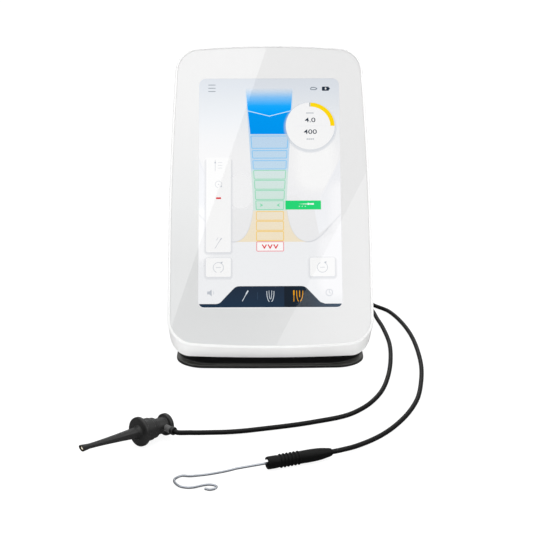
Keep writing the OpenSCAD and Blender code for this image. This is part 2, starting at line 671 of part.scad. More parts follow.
cover_glass();
glass_adhesive();
lcd_panel();
backlight_frame();
display_bracket();
display_screws();
display_ribbon();
front_housing();
housing_seal();
rear_housing();
housing_screws();
board_standoffs();
main_board();
board_screws();
board_parts();
wireless_module();
io_harness();
battery_cells();
battery_holder();
battery_contacts();
battery_lead();
speaker();
speaker_gasket();
io_panel();
io_board();
motor_socket();
socket_insulator();
socket_contacts();
charge_port();
charge_tongue();
measuring_jack();
power_button();
power_switch();
switch_stem();
base_foot();
ballast_plate();
base_screws();
foot_pads();
plug_grip();
plug_pin();
plug_boot();
main_lead();
lead_splitter();
clip_lead();
hook_lead();
clip_plunger();
clip_hook();
clip_spring();
clip_body();
hook_holder();
holder_contact();
lip_hook();
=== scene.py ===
# Endodontic motor console with its measuring leads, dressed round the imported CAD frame.
# It stands on z = 0 with its display leaning back and facing -Y; x runs to the user's right.
# The leads run from the rear plug round the right side to a file clip and a lip hook in front.
# Lengths are in millimetres and are scaled to metres as meshes are made.
import bmesh
import bpy
import json
import math
from mathutils import Matrix, Vector


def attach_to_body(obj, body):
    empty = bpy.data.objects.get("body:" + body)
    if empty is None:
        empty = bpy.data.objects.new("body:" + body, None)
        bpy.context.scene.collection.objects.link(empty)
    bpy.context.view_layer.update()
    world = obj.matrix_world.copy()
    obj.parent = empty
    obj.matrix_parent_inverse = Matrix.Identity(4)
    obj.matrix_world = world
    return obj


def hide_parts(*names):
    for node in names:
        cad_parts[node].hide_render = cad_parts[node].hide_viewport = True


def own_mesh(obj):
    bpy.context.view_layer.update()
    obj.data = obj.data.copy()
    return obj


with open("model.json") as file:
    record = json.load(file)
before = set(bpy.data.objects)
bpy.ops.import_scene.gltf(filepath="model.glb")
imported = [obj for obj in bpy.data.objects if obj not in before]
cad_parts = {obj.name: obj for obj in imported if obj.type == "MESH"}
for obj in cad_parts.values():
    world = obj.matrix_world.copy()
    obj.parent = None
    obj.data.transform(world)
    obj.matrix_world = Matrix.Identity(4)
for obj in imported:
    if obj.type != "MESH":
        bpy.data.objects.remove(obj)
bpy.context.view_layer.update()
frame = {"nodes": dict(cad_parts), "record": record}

MM = 0.001
LEAN = math.radians(29)                 # the face leans back this far from upright
SIN_LEAN, COS_LEAN = math.sin(LEAN), math.cos(LEAN)
FACE_Y, FACE_Z = -55.3, 16.9            # lower edge of the glass
FACE_LENGTH, FACE_HALF_WIDTH = 139.9, 44.7
FACE_MIDDLE = FACE_LENGTH / 2
EDGE_BOW = 460.0                        # radius of the bowed upper and lower edges
FRONT_DEPTH = 18.0                      # from the glass back to the joint of the shells
RIM = 1.35                              # reach of the shell beyond the glass
WALL = 2.2
REAR_Y = 42.7                           # rear wall
REAR_ROUND = 9                          # rounding of the rear wall
SHOULDER_Y = REAR_Y - REAR_ROUND
KEEL = 5.5                              # underside of the rear shell
FLOOR = 11.5                            # lowest level of the hollow
POCKET = 9.5                            # top of the recess that takes the neck of the foot
PLUG_X, PLUG_Z = -11.5, 32.0
LIT_BOTTOM, LIT_WIDTH, LIT_HEIGHT = 16.8, 64.8, 108.0
LIT_HALF = LIT_WIDTH / 2
BORDER_PAINTED_GLOW, SCREEN_GLOW = 0.965, 1.087    # painted glow of the printed border, and emission of the display


def face_point(x, up, back):
    """Point on the leaning face: up from its lower edge, back into the housing."""
    return (x, FACE_Y + up * SIN_LEAN + back * COS_LEAN, FACE_Z + up * COS_LEAN - back * SIN_LEAN)


# ------------------------------------------------------------------ shader helpers
def rgba(colour):
    """Linear RGBA from an sRGB hex text or a grey number; a tuple is passed through."""
    if isinstance(colour, (int, float)):
        return (colour, colour, colour, 1)
    if not isinstance(colour, str):
        return colour
    linear = []
    for i in (1, 3, 5):
        value = int(colour[i:i + 2], 16) / 255
        linear.append(value / 12.92 if value <= 0.04045 else ((value + 0.055) / 1.055) ** 2.4)
    return (*linear, 1.0)


class Graph:
    """Node tree of a material or world, built up from nothing."""

    def __init__(self, owner):
        owner.use_nodes = True
        self.owner = owner
        self.tree = owner.node_tree
        self.tree.nodes.clear()

    def feed(self, node, inputs):
        """Set inputs by name or number; a node (its first output) or a socket is linked."""
        for key, value in inputs.items():
            if isinstance(value, bpy.types.Node):
                value = value.outputs[0]
            if isinstance(value, bpy.types.NodeSocket):
                self.tree.links.new(value, node.inputs[key])
            else:
                node.inputs[key].default_value = value

    def node(self, kind, inputs={}, **settings):
        node = self.tree.nodes.new("ShaderNode" + kind)
        for key, value in settings.items():
            setattr(node, key, value)
        self.feed(node, inputs)
        return node

    def ramp(self, stops, factor):
        """Colour ramp from (position, colour) stops in rising order."""
        node = self.node("ValToRGB", {0: factor})
        elements = node.color_ramp.elements
        for i, (position, colour) in enumerate(stops):
            element = elements[i] if i < 2 else elements.new(position)
            element.position = position
            element.color = rgba(colour)
        return node

    def coords(self, kind="Object"):
        return self.node("TexCoord").outputs[kind]

    def mix(self, factor, first, second):
        return self.node("MixShader", {0: factor, 1: first, 2: second})

    def blend(self, factor, first, second):
        """Colour mix; returns its colour socket."""
        node = self.node("Mix", data_type="RGBA")
        self.feed(node, {0: factor, 6: first, 7: second})
        return node.outputs[2]


def new_material(name):
    return Graph(bpy.data.materials.new(name))


def add_bump(graph, noise, strength):
    bump = graph.node("Bump", {"Strength": strength, "Distance": 0.0001, "Height": noise})
    graph.feed(graph.bsdf, {"Normal": bump})


def surface_graph(name, colour, rough=0.4, metal=0.0, vary=0.06, scale=180.0, rvary=0.08,
                  bump=0.0, bscale=900.0, coat=0.0, spec=0.5, coat_rough=0.08):
    """Principled surface whose colour and roughness wander a little with noise."""
    graph = new_material(name)
    graph.position = graph.coords()
    noise = graph.node("TexNoise", {"Scale": scale, "Detail": 3, "Vector": graph.position})
    base = rgba(colour)[:3]
    graph.tint = graph.ramp(((0.3, (*[max(0, v * (1 - vary)) for v in base], 1)),
                             (0.7, (*[min(1, v * (1 + vary)) for v in base], 1))), noise)
    roughness = graph.node("MapRange", {"To Min": max(0.02, rough - rvary),
                                        "To Max": min(1, rough + rvary), "Value": noise})
    graph.bsdf = graph.node("BsdfPrincipled", {
        "Base Color": graph.tint, "Roughness": roughness, "Metallic": metal,
        "Specular IOR Level": spec, "Coat Weight": coat, "Coat Roughness": coat_rough})
    graph.node("OutputMaterial", {0: graph.bsdf})
    if bump:
        fine = graph.node("TexNoise", {"Scale": bscale, "Detail": 4, "Vector": graph.position})
        add_bump(graph, fine, bump)
    return graph


def surface(name, colour, **values):
    return surface_graph(name, colour, **values).owner


def brushed(name, colour, rough=0.28):
    """Metal with fine parallel scratches."""
    graph = surface_graph(name, colour, rough=rough, metal=1.0, vary=0.05, scale=120, rvary=0.06)
    stretched = graph.node("Mapping", {0: graph.position, "Scale": (30, 900, 900)})
    scratches = graph.node("TexNoise", {"Scale": 6, "Vector": stretched})
    add_bump(graph, scratches, strength=0.12)
    return graph.owner


def glow(name, *stops, axis="Y", lo=0.0, hi=LIT_HEIGHT, alpha=None):
    """Lit display ink whose colour runs along X or Y of the display from lo to hi.

    stops: one colour, two end colours or (position, colour) pairs.
    alpha: a number or (position, value) pairs.
    """
    graph = new_material(name)
    if len(stops) == 1:
        full = rgba(stops[0])
        stops = ((0, (*[v * 0.985 for v in full[:3]], 1)), (1, full))
    elif isinstance(stops[0], str):
        stops = ((0, stops[0]), (1, stops[1]))
    place = graph.node("SeparateXYZ", {0: graph.coords()}).outputs[axis]
    share = graph.node("MapRange", {"From Min": lo * MM, "From Max": hi * MM, "Value": place})
    shader = graph.node("Emission", {0: graph.ramp(stops, share), 1: SCREEN_GLOW})
    if alpha is not None:
        cover = alpha if isinstance(alpha, (int, float)) else graph.ramp(alpha, share)
        shader = graph.mix(cover, graph.node("BsdfTransparent"), shader)
    graph.node("OutputMaterial", {0: shader})
    return graph.owner


def soft_box(name, colour, centre, half, radius, blur, strength):
    """Lit ink that fades out over blur round a rounded box."""
    graph = new_material(name)
    place = graph.coords()
    for operation, operand in (("MULTIPLY", (1000, 1000, 0)),      # metres to millimetres
                               ("SUBTRACT", (*centre, 0)),
                               ("ABSOLUTE", None),
                               ("SUBTRACT", (half[0] - radius, half[1] - radius, 0)),
                               ("MAXIMUM", (0, 0, 0))):
        step = graph.node("VectorMath", {0: place}, operation=operation)
        if operand is not None:
            graph.feed(step, {1: operand})
        place = step
    distance = graph.node("VectorMath", {0: place}, operation="LENGTH").outputs["Value"]
    cover = graph.node("MapRange", {"From Min": radius, "From Max": radius + blur,
                                    "To Min": strength, "To Max": 0.0, "Value": distance},
                       interpolation_type="SMOOTHERSTEP")
    lit = graph.node("Emission", {0: rgba(colour), 1: SCREEN_GLOW})
    graph.node("OutputMaterial", {0: graph.mix(cover, graph.node("BsdfTransparent"), lit)})
    return graph.owner


# ------------------------------------------------------------------ materials
def pane():
    """Clear cover glass: straight through, with a mirror share that grows at grazing angles."""
    ior, rough, gain = 1.5, 0.01, 1.0
    graph = new_material("m_glass")
    # inverted on the way out, so the mirror share matches the way in
    side = graph.node("MapRange", {"To Min": ior, "To Max": 1 / ior,
                                   "Value": graph.node("NewGeometry").outputs["Backfacing"]})
    fresnel = graph.node("Fresnel", {"IOR": side})
    share = graph.node("Math", {0: fresnel, 1: gain}, operation="MULTIPLY")
    noise = graph.node("TexNoise", {"Scale": 40, "Vector": graph.coords()})
    roughness = graph.node("MapRange", {"To Min": rough, "To Max": rough + 0.01, "Value": noise})
    clear = graph.node("BsdfTransparent", {0: rgba("#fefefe")})
    mirror = graph.node("BsdfGlossy", {"Roughness": roughness})
    graph.node("OutputMaterial", {0: graph.mix(share, clear, mirror)})
    return graph.owner


def foot_material():
    """Plate with a painted highlight along its top edge, darker towards the floor, and a neck
    darkened with painted shade, told apart by height; the plate is also shinier than the neck.
    """
    graph = surface_graph("m_foot", "#161615", rough=0.38, vary=0.1, bump=0.08, bscale=1500)
    height = graph.node("SeparateXYZ", {0: graph.position}).outputs["Z"]
    # painted highlight on the rounded top edge of the plate, painted shade on the neck above it,
    # darker again towards the floor
    painted_light_bands = graph.ramp(((0.0, "#151514"), (0.38, "#1c1c1b"), (0.46, "#474743"),
                        (0.62, "#3a3a37"), (0.74, "#0b0b0b"), (1.0, "#080808")),
                       graph.node("MapRange", {"From Max": 0.003, "Value": height}))
    shine = graph.node("MapRange", {"From Min": 0.00185, "From Max": 0.0026,
                                    "To Min": 0.5, "To Max": 0.14, "Value": height})
    graph.feed(graph.bsdf, {"Base Color": graph.blend(0.85, graph.tint, painted_light_bands),
                            "Specular IOR Level": shine})
    return graph.owner


MATS = {
    "cover_glass": pane(),
    "black_adhesive": surface("m_adhesive", "#141416", rough=0.8),
    "lcd": surface("m_lcd", "#c4ccd6", rough=0.35, coat=0.3),
    "steel_sheet": brushed("m_sheet", "#b4b8bc"),
    "screw_steel": brushed("m_screw", "#9a9ea3", rough=0.3),
    "flex": surface("m_flex", "#b9762f", rough=0.35, vary=0.12, coat=0.3),
    "white_shell": surface("m_white", "#f1f1f0", rough=0.34, vary=0.008, scale=60, rvary=0.04,
                           bump=0.03, bscale=1400, coat=0.25, coat_rough=0.12),
    "seal_rubber": surface("m_seal", "#1b1b1c", rough=0.75, bump=0.2),
    "brass": brushed("m_brass", "#c9a24c", rough=0.3),
    "circuit_board": surface("m_pcb", "#17553a", rough=0.4, vary=0.25, scale=420, coat=0.4),
    "chips": surface("m_chip", "#1b1c1e", rough=0.5, bump=0.15),
    "can": brushed("m_can", "#c3c6c9", rough=0.25),
    "cell_wrap": surface("m_cell", "#2c5ea6", rough=0.3, vary=0.05, coat=0.5),
    "black_plastic": surface("m_black", "#0f0f0f", rough=0.46, vary=0.12, bump=0.1, bscale=1600,
                             spec=0.32),
    "foot": foot_material(),
    "wire_red": surface("m_wire", "#a01f24", rough=0.4),
    "socket_shell": brushed("m_socket", "#c6c9cc", rough=0.22),
    "insulator": surface("m_insul", "#d8d6cc", rough=0.5),
    "gold": surface("m_gold", "#e6c46c", rough=0.2, metal=1.0, scale=300),
    "button_cap": surface("m_button", "#e2e3e4", rough=0.35, vary=0.02, coat=0.2),
    "ballast": brushed("m_ballast", "#787c80", rough=0.4),
    "cable_black": surface("m_cable", "#050505", rough=0.42, vary=0.12, scale=500, rvary=0.06,
                           bump=0.05, spec=0.19),
    "holder": surface("m_holder", "#060606", rough=0.46, vary=0.12, scale=400, rvary=0.06,
                      bump=0.04, bscale=2200, spec=0.13),
    "lead_plastic": surface("m_clip", "#1f1f1f", rough=0.38, vary=0.12, scale=400, rvary=0.06,
                            bump=0.05, bscale=2200, spec=0.36),
    "stub": surface("m_stub", "#5f5f5f", rough=0.4, vary=0.08, scale=400, rvary=0.06,
                    bump=0.05, bscale=2200, spec=0.45),
    "spring_steel": brushed("m_spring", "#bcbfc2", rough=0.25),
    "hook_steel": surface("m_hook", "#a3a7ae", rough=0.33, metal=1.0, vary=0.02, scale=160,
                          rvary=0.02),
}
slots = {part["node"]: part["material_slot"] for part in frame["record"]["subparts"]}
for node, piece in frame["nodes"].items():
    piece.data.materials.clear()
    piece.data.materials.append(MATS[slots[node]])


# ------------------------------------------------------------------ building helpers
# A mesh is passed about as a (vertices, faces) pair in millimetres.
def smooth(piece, degrees):
    for face in piece.data.polygons:
        face.use_smooth = True
    piece.data.set_sharp_from_angle(angle=math.radians(degrees))


def attach(piece, body, stands_for=None):
    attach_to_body(piece, body)
    if stands_for:
        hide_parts(stands_for)


def build(name, mesh, material, body=None, stands_for=None, sharp=None, matrix=None,
          recalc=True):
    """Make an object; sharp is the smoothing angle in degrees, or None for flat faces."""
    data = bpy.data.meshes.new(name)
    data.from_pydata([tuple(c * MM for c in vertex) for vertex in mesh[0]], [], mesh[1])
    data.update()
    if recalc:
        work = bmesh.new()
        work.from_mesh(data)
        bmesh.ops.recalc_face_normals(work, faces=work.faces)
        work.to_mesh(data)
        work.free()
    piece = bpy.data.objects.new(name, data)
    bpy.context.scene.collection.objects.link(piece)
    if matrix is not None:
        piece.matrix_world = matrix
    data.materials.append(material)
    if sharp is not None:
        smooth(piece, sharp)
    if body:
        attach(piece, body, stands_for)
    return piece


def cutter(name, mesh):
    return build(name, mesh, MATS["chips"])


def carve(piece, cutters, solver="MANIFOLD", operation="DIFFERENCE"):
    """Apply each cutter to the piece, bake the result and remove the cutters."""
    for tool in cutters:
        modifier = piece.modifiers.new("cut", "BOOLEAN")
        modifier.operation = operation
        modifier.object = tool
        modifier.solver = solver
    bpy.context.view_layer.update()
    depsgraph = bpy.context.evaluated_depsgraph_get()
    baked = bpy.data.meshes.new_from_object(piece.evaluated_get(depsgraph))
    piece.modifiers.clear()
    old = piece.data
    piece.data = baked
    bpy.data.meshes.remove(old)
    for tool in cutters:
        bpy.data.objects.remove(tool, do_unlink=True)


def skin(rings, loop=False):
    """Join equal rings; closed round on itself, or capped at both ends."""
    n, count = len(rings[0]), len(rings)
    verts = [point for ring in rings for point in ring]
    faces = []
    for i in range(count if loop else count - 1):
        here, there = i * n, (i + 1) % count * n
        for j in range(n):
            k = (j + 1) % n
            faces.append((here + j, here + k, there + k, there + j))
    if not loop:
        faces.append(tuple(reversed(range(n))))
        faces.append(tuple((count - 1) * n + j for j in range(n)))
    return verts, faces


def lathe(profile, n=96, loop=True):
    """Turn (radius, height) pairs round local Z."""
    count = len(profile)
    verts, faces = [], []
    for i in range(n):
        angle = 2 * math.pi * i / n
        for radius, height in profile:
            verts.append((radius * math.cos(angle), radius * math.sin(angle), height))
    for i in range(n):
        here, there = i * count, (i + 1) % n * count
        for j in range(count if loop else count - 1):
            k = (j + 1) % count
            faces.append((here + j, here + k, there + k, there + j))
    return verts, faces


def tube(path, radius, n=24, up=(0, 0, 1)):
    """Round tube along a path; radius is a number or a function of the share of the way."""
    points = [Vector(point) for point in path]
    last = len(points) - 1
    side = Vector(up)
    rings = []
    for i, point in enumerate(points):
        tangent = (points[min(last, i + 1)] - points[max(0, i - 1)]).normalized()
        side = (side - side.dot(tangent) * tangent).normalized()
        other = tangent.cross(side)
        r = radius(i / last) if callable(radius) else radius
        angles = [2 * math.pi * j / n for j in range(n)]
        rings.append([tuple(point + r * (side * math.cos(a) + other * math.sin(a)))
                      for a in angles])
    return skin(rings)


def placed(mesh, matrix):
    return [tuple(matrix @ Vector(vertex)) for vertex in mesh[0]], mesh[1]


def joined(first, second):
    shift = len(first[0])
    return first[0] + second[0], first[1] + [tuple(i + shift for i in face) for face in second[1]]


def box(low, high):
    verts = [(x, y, z) for x in (low[0], high[0]) for y in (low[1], high[1])
             for z in (low[2], high[2])]
    return verts, [(0, 1, 3, 2), (4, 6, 7, 5), (0, 4, 5, 1), (2, 3, 7, 6), (0, 2, 6, 4),
                   (1, 5, 7, 3)]


def circle(cx, cy, radius, n=72):
    angles = [2 * math.pi * i / n for i in range(n)]
    return [(cx + radius * math.cos(a), cy + radius * math.sin(a)) for a in angles]


def rod(x, y, z0, z1, radius, n=40):
    """Upright cylinder."""
    ring = circle(x, y, radius, n)
    return skin([[(*point, z) for point in ring] for z in (z0, z1)])


def prism_y(outline, y0, y1):
    return skin([[(x, y, z) for x, z in outline] for y in (y0, y1)])


def arc(cx, cy, radius, start, n):
    """Quarter circle from the start angle in degrees."""
    angles = [math.radians(start + 90 * i / n) for i in range(n + 1)]
    return [(cx + radius * math.cos(a), cy + radius * math.sin(a)) for a in angles]


def between(p, q, n):
    """The points that divide a straight side into n, without its ends."""
    return [(p[0] + (q[0] - p[0]) * i / n, p[1] + (q[1] - p[1]) * i / n) for i in range(1, n)]


def round_box(half, low, high, r_low, r_high, n_corner=18, n_side=40, n_end=28):
    """Rounded rectangle, symmetric in x, with its own radii at the low and high ends."""
    in_low, in_high = half - r_low, half - r_high
    return (arc(in_low, low + r_low, r_low, 270, n_corner)
            + between((half, low + r_low), (half, high - r_high), n_side)
            + arc(in_high, high - r_high, r_high, 0, n_corner)
            + between((in_high, high), (-in_high, high), n_end)
            + arc(-in_high, high - r_high, r_high, 90, n_corner)
            + between((-half, high - r_high), (-half, low + r_low), n_side)
            + arc(-in_low, low + r_low, r_low, 180, n_corner)
            + between((-in_low, low), (in_low, low), n_end))


def quarter(n):
    """Angles of a quarter turn in n steps, without the start."""
    return [math.radians(90 * i / n) for i in range(1, n + 1)]


def soften(profile, radius, n=4, closed=True):
    """Round the corners of a polyline, by at most 0.45 of the shorter leg."""
    rounded = []
    count = len(profile)
    for i in range(count):
        if not closed and i in (0, count - 1):
            rounded.append(profile[i])
            continue
        corner = Vector(profile[i])
        before, after = Vector(profile[i - 1]) - corner, Vector(profile[(i + 1) % count]) - corner
        if before.length < 1e-6 or after.length < 1e-6:
            continue
        cut = min(radius, before.length * 0.45, after.length * 0.45)
        start = corner + before / before.length * cut
        end = corner + after / after.length * cut
        for j in range(n + 1):
            u = j / n
            rounded.append(tuple((1 - u) ** 2 * start + 2 * u * (1 - u) * corner + u * u * end))
    return rounded


def spline(points, n):
    """Catmull-Rom curve through the points, n steps to a span."""
    last = len(points) - 1
    curve = []
    for i in range(last):
        near = points[max(0, i - 1)], points[i], points[i + 1], points[min(last, i + 2)]
        for j in range(n):
            u = j / n
            curve.append(tuple(
                0.5 * (2 * b + (c - a) * u + (2 * a - 5 * b + 4 * c - d) * u * u
                       + (3 * b - a - 3 * c + d) * u ** 3) for a, b, c, d in zip(*near)))
    return curve + [points[-1]]


def bezier(p0, p1, p2, p3, n=20):
    return [tuple(((1 - u) ** 3) * a + 3 * (1 - u) ** 2 * u * b + 3 * (1 - u) * u * u * c
                  + u ** 3 * d for a, b, c, d in zip(p0, p1, p2, p3))
            for u in [i / n for i in range(n + 1)]]


# ------------------------------------------------------------------ outlines of the housing
def chin(up):
    """1 at the lower edge of the face, fading to 0 at 45 above it."""
    return min(1, max(0, (45 - up) / 45))


def face_ring(outline, back):
    return [face_point(x, up, back) for x, up in outline]


def shell_ring(grow, back):
    """Outline of the glass grown outwards, at a depth behind the face."""
    depth = max(0, back)
    outline = []
    for x, up in round_box(FACE_HALF_WIDTH + grow, -grow, FACE_LENGTH + grow,
                           10 + grow - 0.11 * depth, 9 + grow):
        # the sides draw in towards the top; the lower edge is flatter further back
        flat = 1 - 0.5 * depth / FRONT_DEPTH * chin(up)
        bow = 1 - flat * x * x / (2 * EDGE_BOW * FACE_MIDDLE)
        side = x * (1 - 0.0003 * max(0, up - 40) ** 2 / FACE_HALF_WIDTH)
        up = FACE_MIDDLE + (up - FACE_MIDDLE) * bow
        outline.append((side, up - 0.105 * max(0, back - 1.5) * chin(up) ** 2))
    return face_ring(outline, back)


def rear_ring(inset, y, low=KEEL):
    """Upright outline of the rear shell."""
    outline = round_box(44 - inset, low + inset, 128.5 - inset, max(1, 5 - inset / 3),
                        max(2, 11 - inset / 2))
    return [(x, y, z) for x, z in outline]


def rear_corner(inset, radius, n):
    """Rings that roll over into the rear wall."""
    return [rear_ring(inset + radius * (1 - math.cos(a)), SHOULDER_Y + radius * math.sin(a))
            for a in quarter(n)]


def loft(start, end, shares=(0.08, 0.2, 0.35, 0.5, 0.65, 0.8, 0.92)):
    return [[tuple(a * (1 - u) + b * u for a, b in zip(p, q)) for p, q in zip(start, end)]
            for u in shares]


def foot_plan(half, front, rear, r_front, r_rear, z, bow=1.1):
    """Rounded plan whose front edge falls back by bow towards the sides."""
    outline = round_box(half, front, rear, r_front, r_rear, 24, 20, 16)
    return [(x, y + (bow * (x / half) ** 2 * (y / front) ** 2 if y < 0 else 0), z)
            for x, y in outline]


def plate_ring(inset, z):
    return foot_plan(43.65 - inset, -41.5 + inset, 41.5 - inset, 13.3 - inset, 13.4 - inset, z)


def collar_ring(inset, z):
    return foot_plan(43.0 - inset, -40.35 + inset, 39.4 - inset, 17 - inset, 12 - inset, z, 0.9)


def neck(grow, z0, z1):
    """Upright neck of the foot."""
    return skin([foot_plan(42.2 + grow, -38.6 - grow, 39.4 + grow, 28.0 + grow, 12.2 + grow, z, 0)
                 for z in (z0, z1)])


# ------------------------------------------------------------------ front shell
opening = round_box(36.2, 12.4, 129.2, 3, 3)
rings = [shell_ring(0.14, 1.25), shell_ring(0.14, 0.15)]
for a in quarter(4):                       # small inner edge of the lip
    rings.append(shell_ring(0.14 + 0.22 * (1 - math.cos(a)), 0.15 - 0.4 * math.sin(a)))
for a in quarter(12):                      # outer roll of the lip
    rings.append(shell_ring(0.40 + 0.95 * math.sin(a), -0.25 + 1.35 * (1 - math.cos(a))))
for depth in (2, 4, 7, 10, 13, 16, FRONT_DEPTH - 0.25):
    rings.append(shell_ring(RIM, depth))
rings.append(shell_ring(RIM - 0.22, FRONT_DEPTH - 0.02))
for depth in (FRONT_DEPTH - 0.02, 10, 3.2):
    rings.append(shell_ring(RIM - WALL, depth))
rings += [face_ring(opening, 3.2), face_ring(opening, 1.3)]
build("front_shell", skin(rings, loop=True), MATS["white_shell"], "console",
      "front_housing", sharp=40)

# ------------------------------------------------------------------ rear shell
joint, shoulder = shell_ring(RIM, FRONT_DEPTH + 0.25), rear_ring(0, SHOULDER_Y)
rear = build("rear_shell",
             skin([shell_ring(RIM - 0.22, FRONT_DEPTH + 0.02), joint] + loft(joint, shoulder)
                  + [shoulder] + rear_corner(0, REAR_ROUND, 14)), MATS["white_shell"])
joint, shoulder = shell_ring(RIM - WALL, FRONT_DEPTH - 1.5), rear_ring(WALL, SHOULDER_Y)
hollow = cutter("c_hollow",
                skin([joint] + loft(joint, shoulder, (0.33, 0.67)) + [shoulder]
                     + rear_corner(WALL, REAR_ROUND - WALL, 6)))
carve(hollow, [cutter("c_below", box((-70, -70, -10), (70, 70, FLOOR)))])
through_wall = REAR_Y - WALL - 1.5, REAR_Y + 2
cuts = [hollow, cutter("c_neck", neck(0.15, -2, POCKET))]
window = round_box(28, PLUG_Z - 12, PLUG_Z + 12, 1.2, 1.2, 6, 2, 2)
cuts.append(cutter("c_window", prism_y(window, *through_wall)))
for i in range(-2, 3):                     # five upright slots, the middle one longest
    low, height = 84 + abs(i) * 1.5, 18 - abs(i) * 3
    slit = prism_y(round_box(1.0, low, low + height, 0.98, 0.98, 6, 2, 2), *through_wall)
    cuts.append(cutter("c_slot%d" % i, ([(x + i * 4.6, y, z) for x, y, z in slit[0]], slit[1])))
carve(rear, cuts)
smooth(rear, 32)
attach(rear, "console", "rear_housing")

# ------------------------------------------------------------------ black foot
rings = [plate_ring(inset, z) for inset, z in ((0.35, 0.0), (0.1, 0.1), (0.0, 0.35), (0.0, 1.0))]
rings += [plate_ring(0.5 * (1 - math.cos(a)), 1.0 + 0.5 * math.sin(a)) for a in quarter(8)]
rings += [collar_ring(inset, z) for inset, z in (
    (-0.32, 1.7), (-0.1, 1.76), (0.0, 1.95), (0.0, 4.0), (0.0, 12.0))]
foot = build("foot", skin(rings), MATS["foot"])

# the collar is cut to seat the shells, with a gap of 0.1
GAP = 0.1
joint = shell_ring(RIM + GAP, FRONT_DEPTH + 0.2)
shoulder = rear_ring(-GAP, SHOULDER_Y, KEEL - GAP)
rings = [shell_ring(0.9, -0.2)]
rings += [shell_ring(RIM + GAP, depth) for depth in (1, 2, 4, 7, 10, 13, 16, FRONT_DEPTH)]
rings += [joint] + loft(joint, shoulder) + [shoulder, rear_ring(-GAP, REAR_Y + 1, KEEL - GAP)]
cuts = [cutter("c_shell", skin(rings))]
for x in (-33, 33):
    for y in (-29, 29):
        cuts.append(cutter("c_pad", rod(x, y, -2, 1.4, 5.1, 48)))
spigot_cuts = []
for x in (-24, 24):
    for y in (-22, 24):
        cuts.append(cutter("c_head", rod(x, y, -2, 3.2, 3.1)))
        for group in (cuts, spigot_cuts):
            group.append(cutter("c_shank", rod(x, y, -2, 12, 1.6)))
carve(foot, cuts)

# the spigot rises into the rear shell and is hollowed over the weight
WEIGHT_LOW = (-31, -26, 4.6)
spigot = build("spigot", neck(0, 3.0, POCKET), MATS["foot"])
for x in (-26, 26):
    spigot_cuts.append(cutter("c_tab", rod(x, -31.6, POCKET - 2.4, 14, 3.0)))
spigot_cuts.append(cutter("c_weight", box(WEIGHT_LOW, (31, 28, 14))))
carve(spigot, spigot_cuts)
carve(foot, [spigot], operation="UNION")
carve(foot, [cutter("c_weight2", box(WEIGHT_LOW, (31, 28, 9.0)))])
smooth(foot, 40)
attach(foot, "console", "base_foot")

# ------------------------------------------------------------------ glass and printed border
rings = [shell_ring(grow, depth) for grow, depth in (
    (-0.16, 0.0), (-0.04, 0.05), (0.0, 0.18), (0.0, 0.72))]
build("cover_pane", skin(rings), MATS["cover_glass"], "console", "cover_glass",
      sharp=10)


def print_material():
    """Grey-white print lit mostly by a painted glow; painted shade darkens it towards the bottom,
    much more on the left than on the right.
    """
    graph = new_material("m_print")
    place = graph.node("SeparateXYZ", {0: graph.coords()}).outputs
    painted_shade_sides = []
    # painted shade: the left side darkens towards the bottom, the right side stays nearly even
    for stops in (((0.0, "#e0e1e1"), (0.12, "#dddede"), (0.3, "#dddede"), (0.5, "#e4e5e5"),
                   (0.8, "#ebebeb"), (1.0, "#ececec")),
                  ((0.0, "#e9e9e9"), (0.5, "#e9e9e9"), (1.0, "#ebebeb"))):
        height = graph.node("MapRange", {"From Min": 0.014, "From Max": 0.136,
                                         "Value": place["Z"]})
        painted_shade_sides.append(graph.ramp(stops, height))
    across = graph.node("MapRange", {"From Min": -0.020, "From Max": 0.046, "Value": place["X"]},
                        interpolation_type="SMOOTHSTEP")
    colour = graph.blend(across, *painted_shade_sides)
    dimmed = graph.node("VectorMath", operation="SCALE")
    graph.feed(dimmed, {0: colour, "Scale": 0.12})
    paint = graph.node("BsdfDiffuse", {"Color": dimmed})
    # painted glow: the print gives off light of its own that stands in for the lamps
    light = graph.node("Emission", {"Color": colour, "Strength": BORDER_PAINTED_GLOW})
    graph.node("OutputMaterial", {0: graph.node("AddShader", {0: paint, 1: light})})
    return graph.owner


# a ring of print behind the glass, open over the lit area
opening = round_box(LIT_HALF, LIT_BOTTOM, LIT_BOTTOM + LIT_HEIGHT, 3.2, 3.2)
build("border_ink", skin([shell_ring(-0.02, 0.8), face_ring(opening, 0.8),
                          face_ring(opening, 1.0), shell_ring(-0.02, 1.0)], loop=True),
      print_material(), "console", sharp=30)

# ------------------------------------------------------------------ display: drawing tools
# display frame: X across, Y up the face from the lower edge of the lit area, Z to the user
DISPLAY = Matrix(((1, 0, 0, 0),
                  (0, SIN_LEAN, -COS_LEAN, (FACE_Y + LIT_BOTTOM * SIN_LEAN) * MM),
                  (0, COS_LEAN, SIN_LEAN, (FACE_Z + LIT_BOTTOM * COS_LEAN) * MM),
                  (0, 0, 0, 1)))


def layer_depth(layer):
    return -1.06 + 0.02 * layer


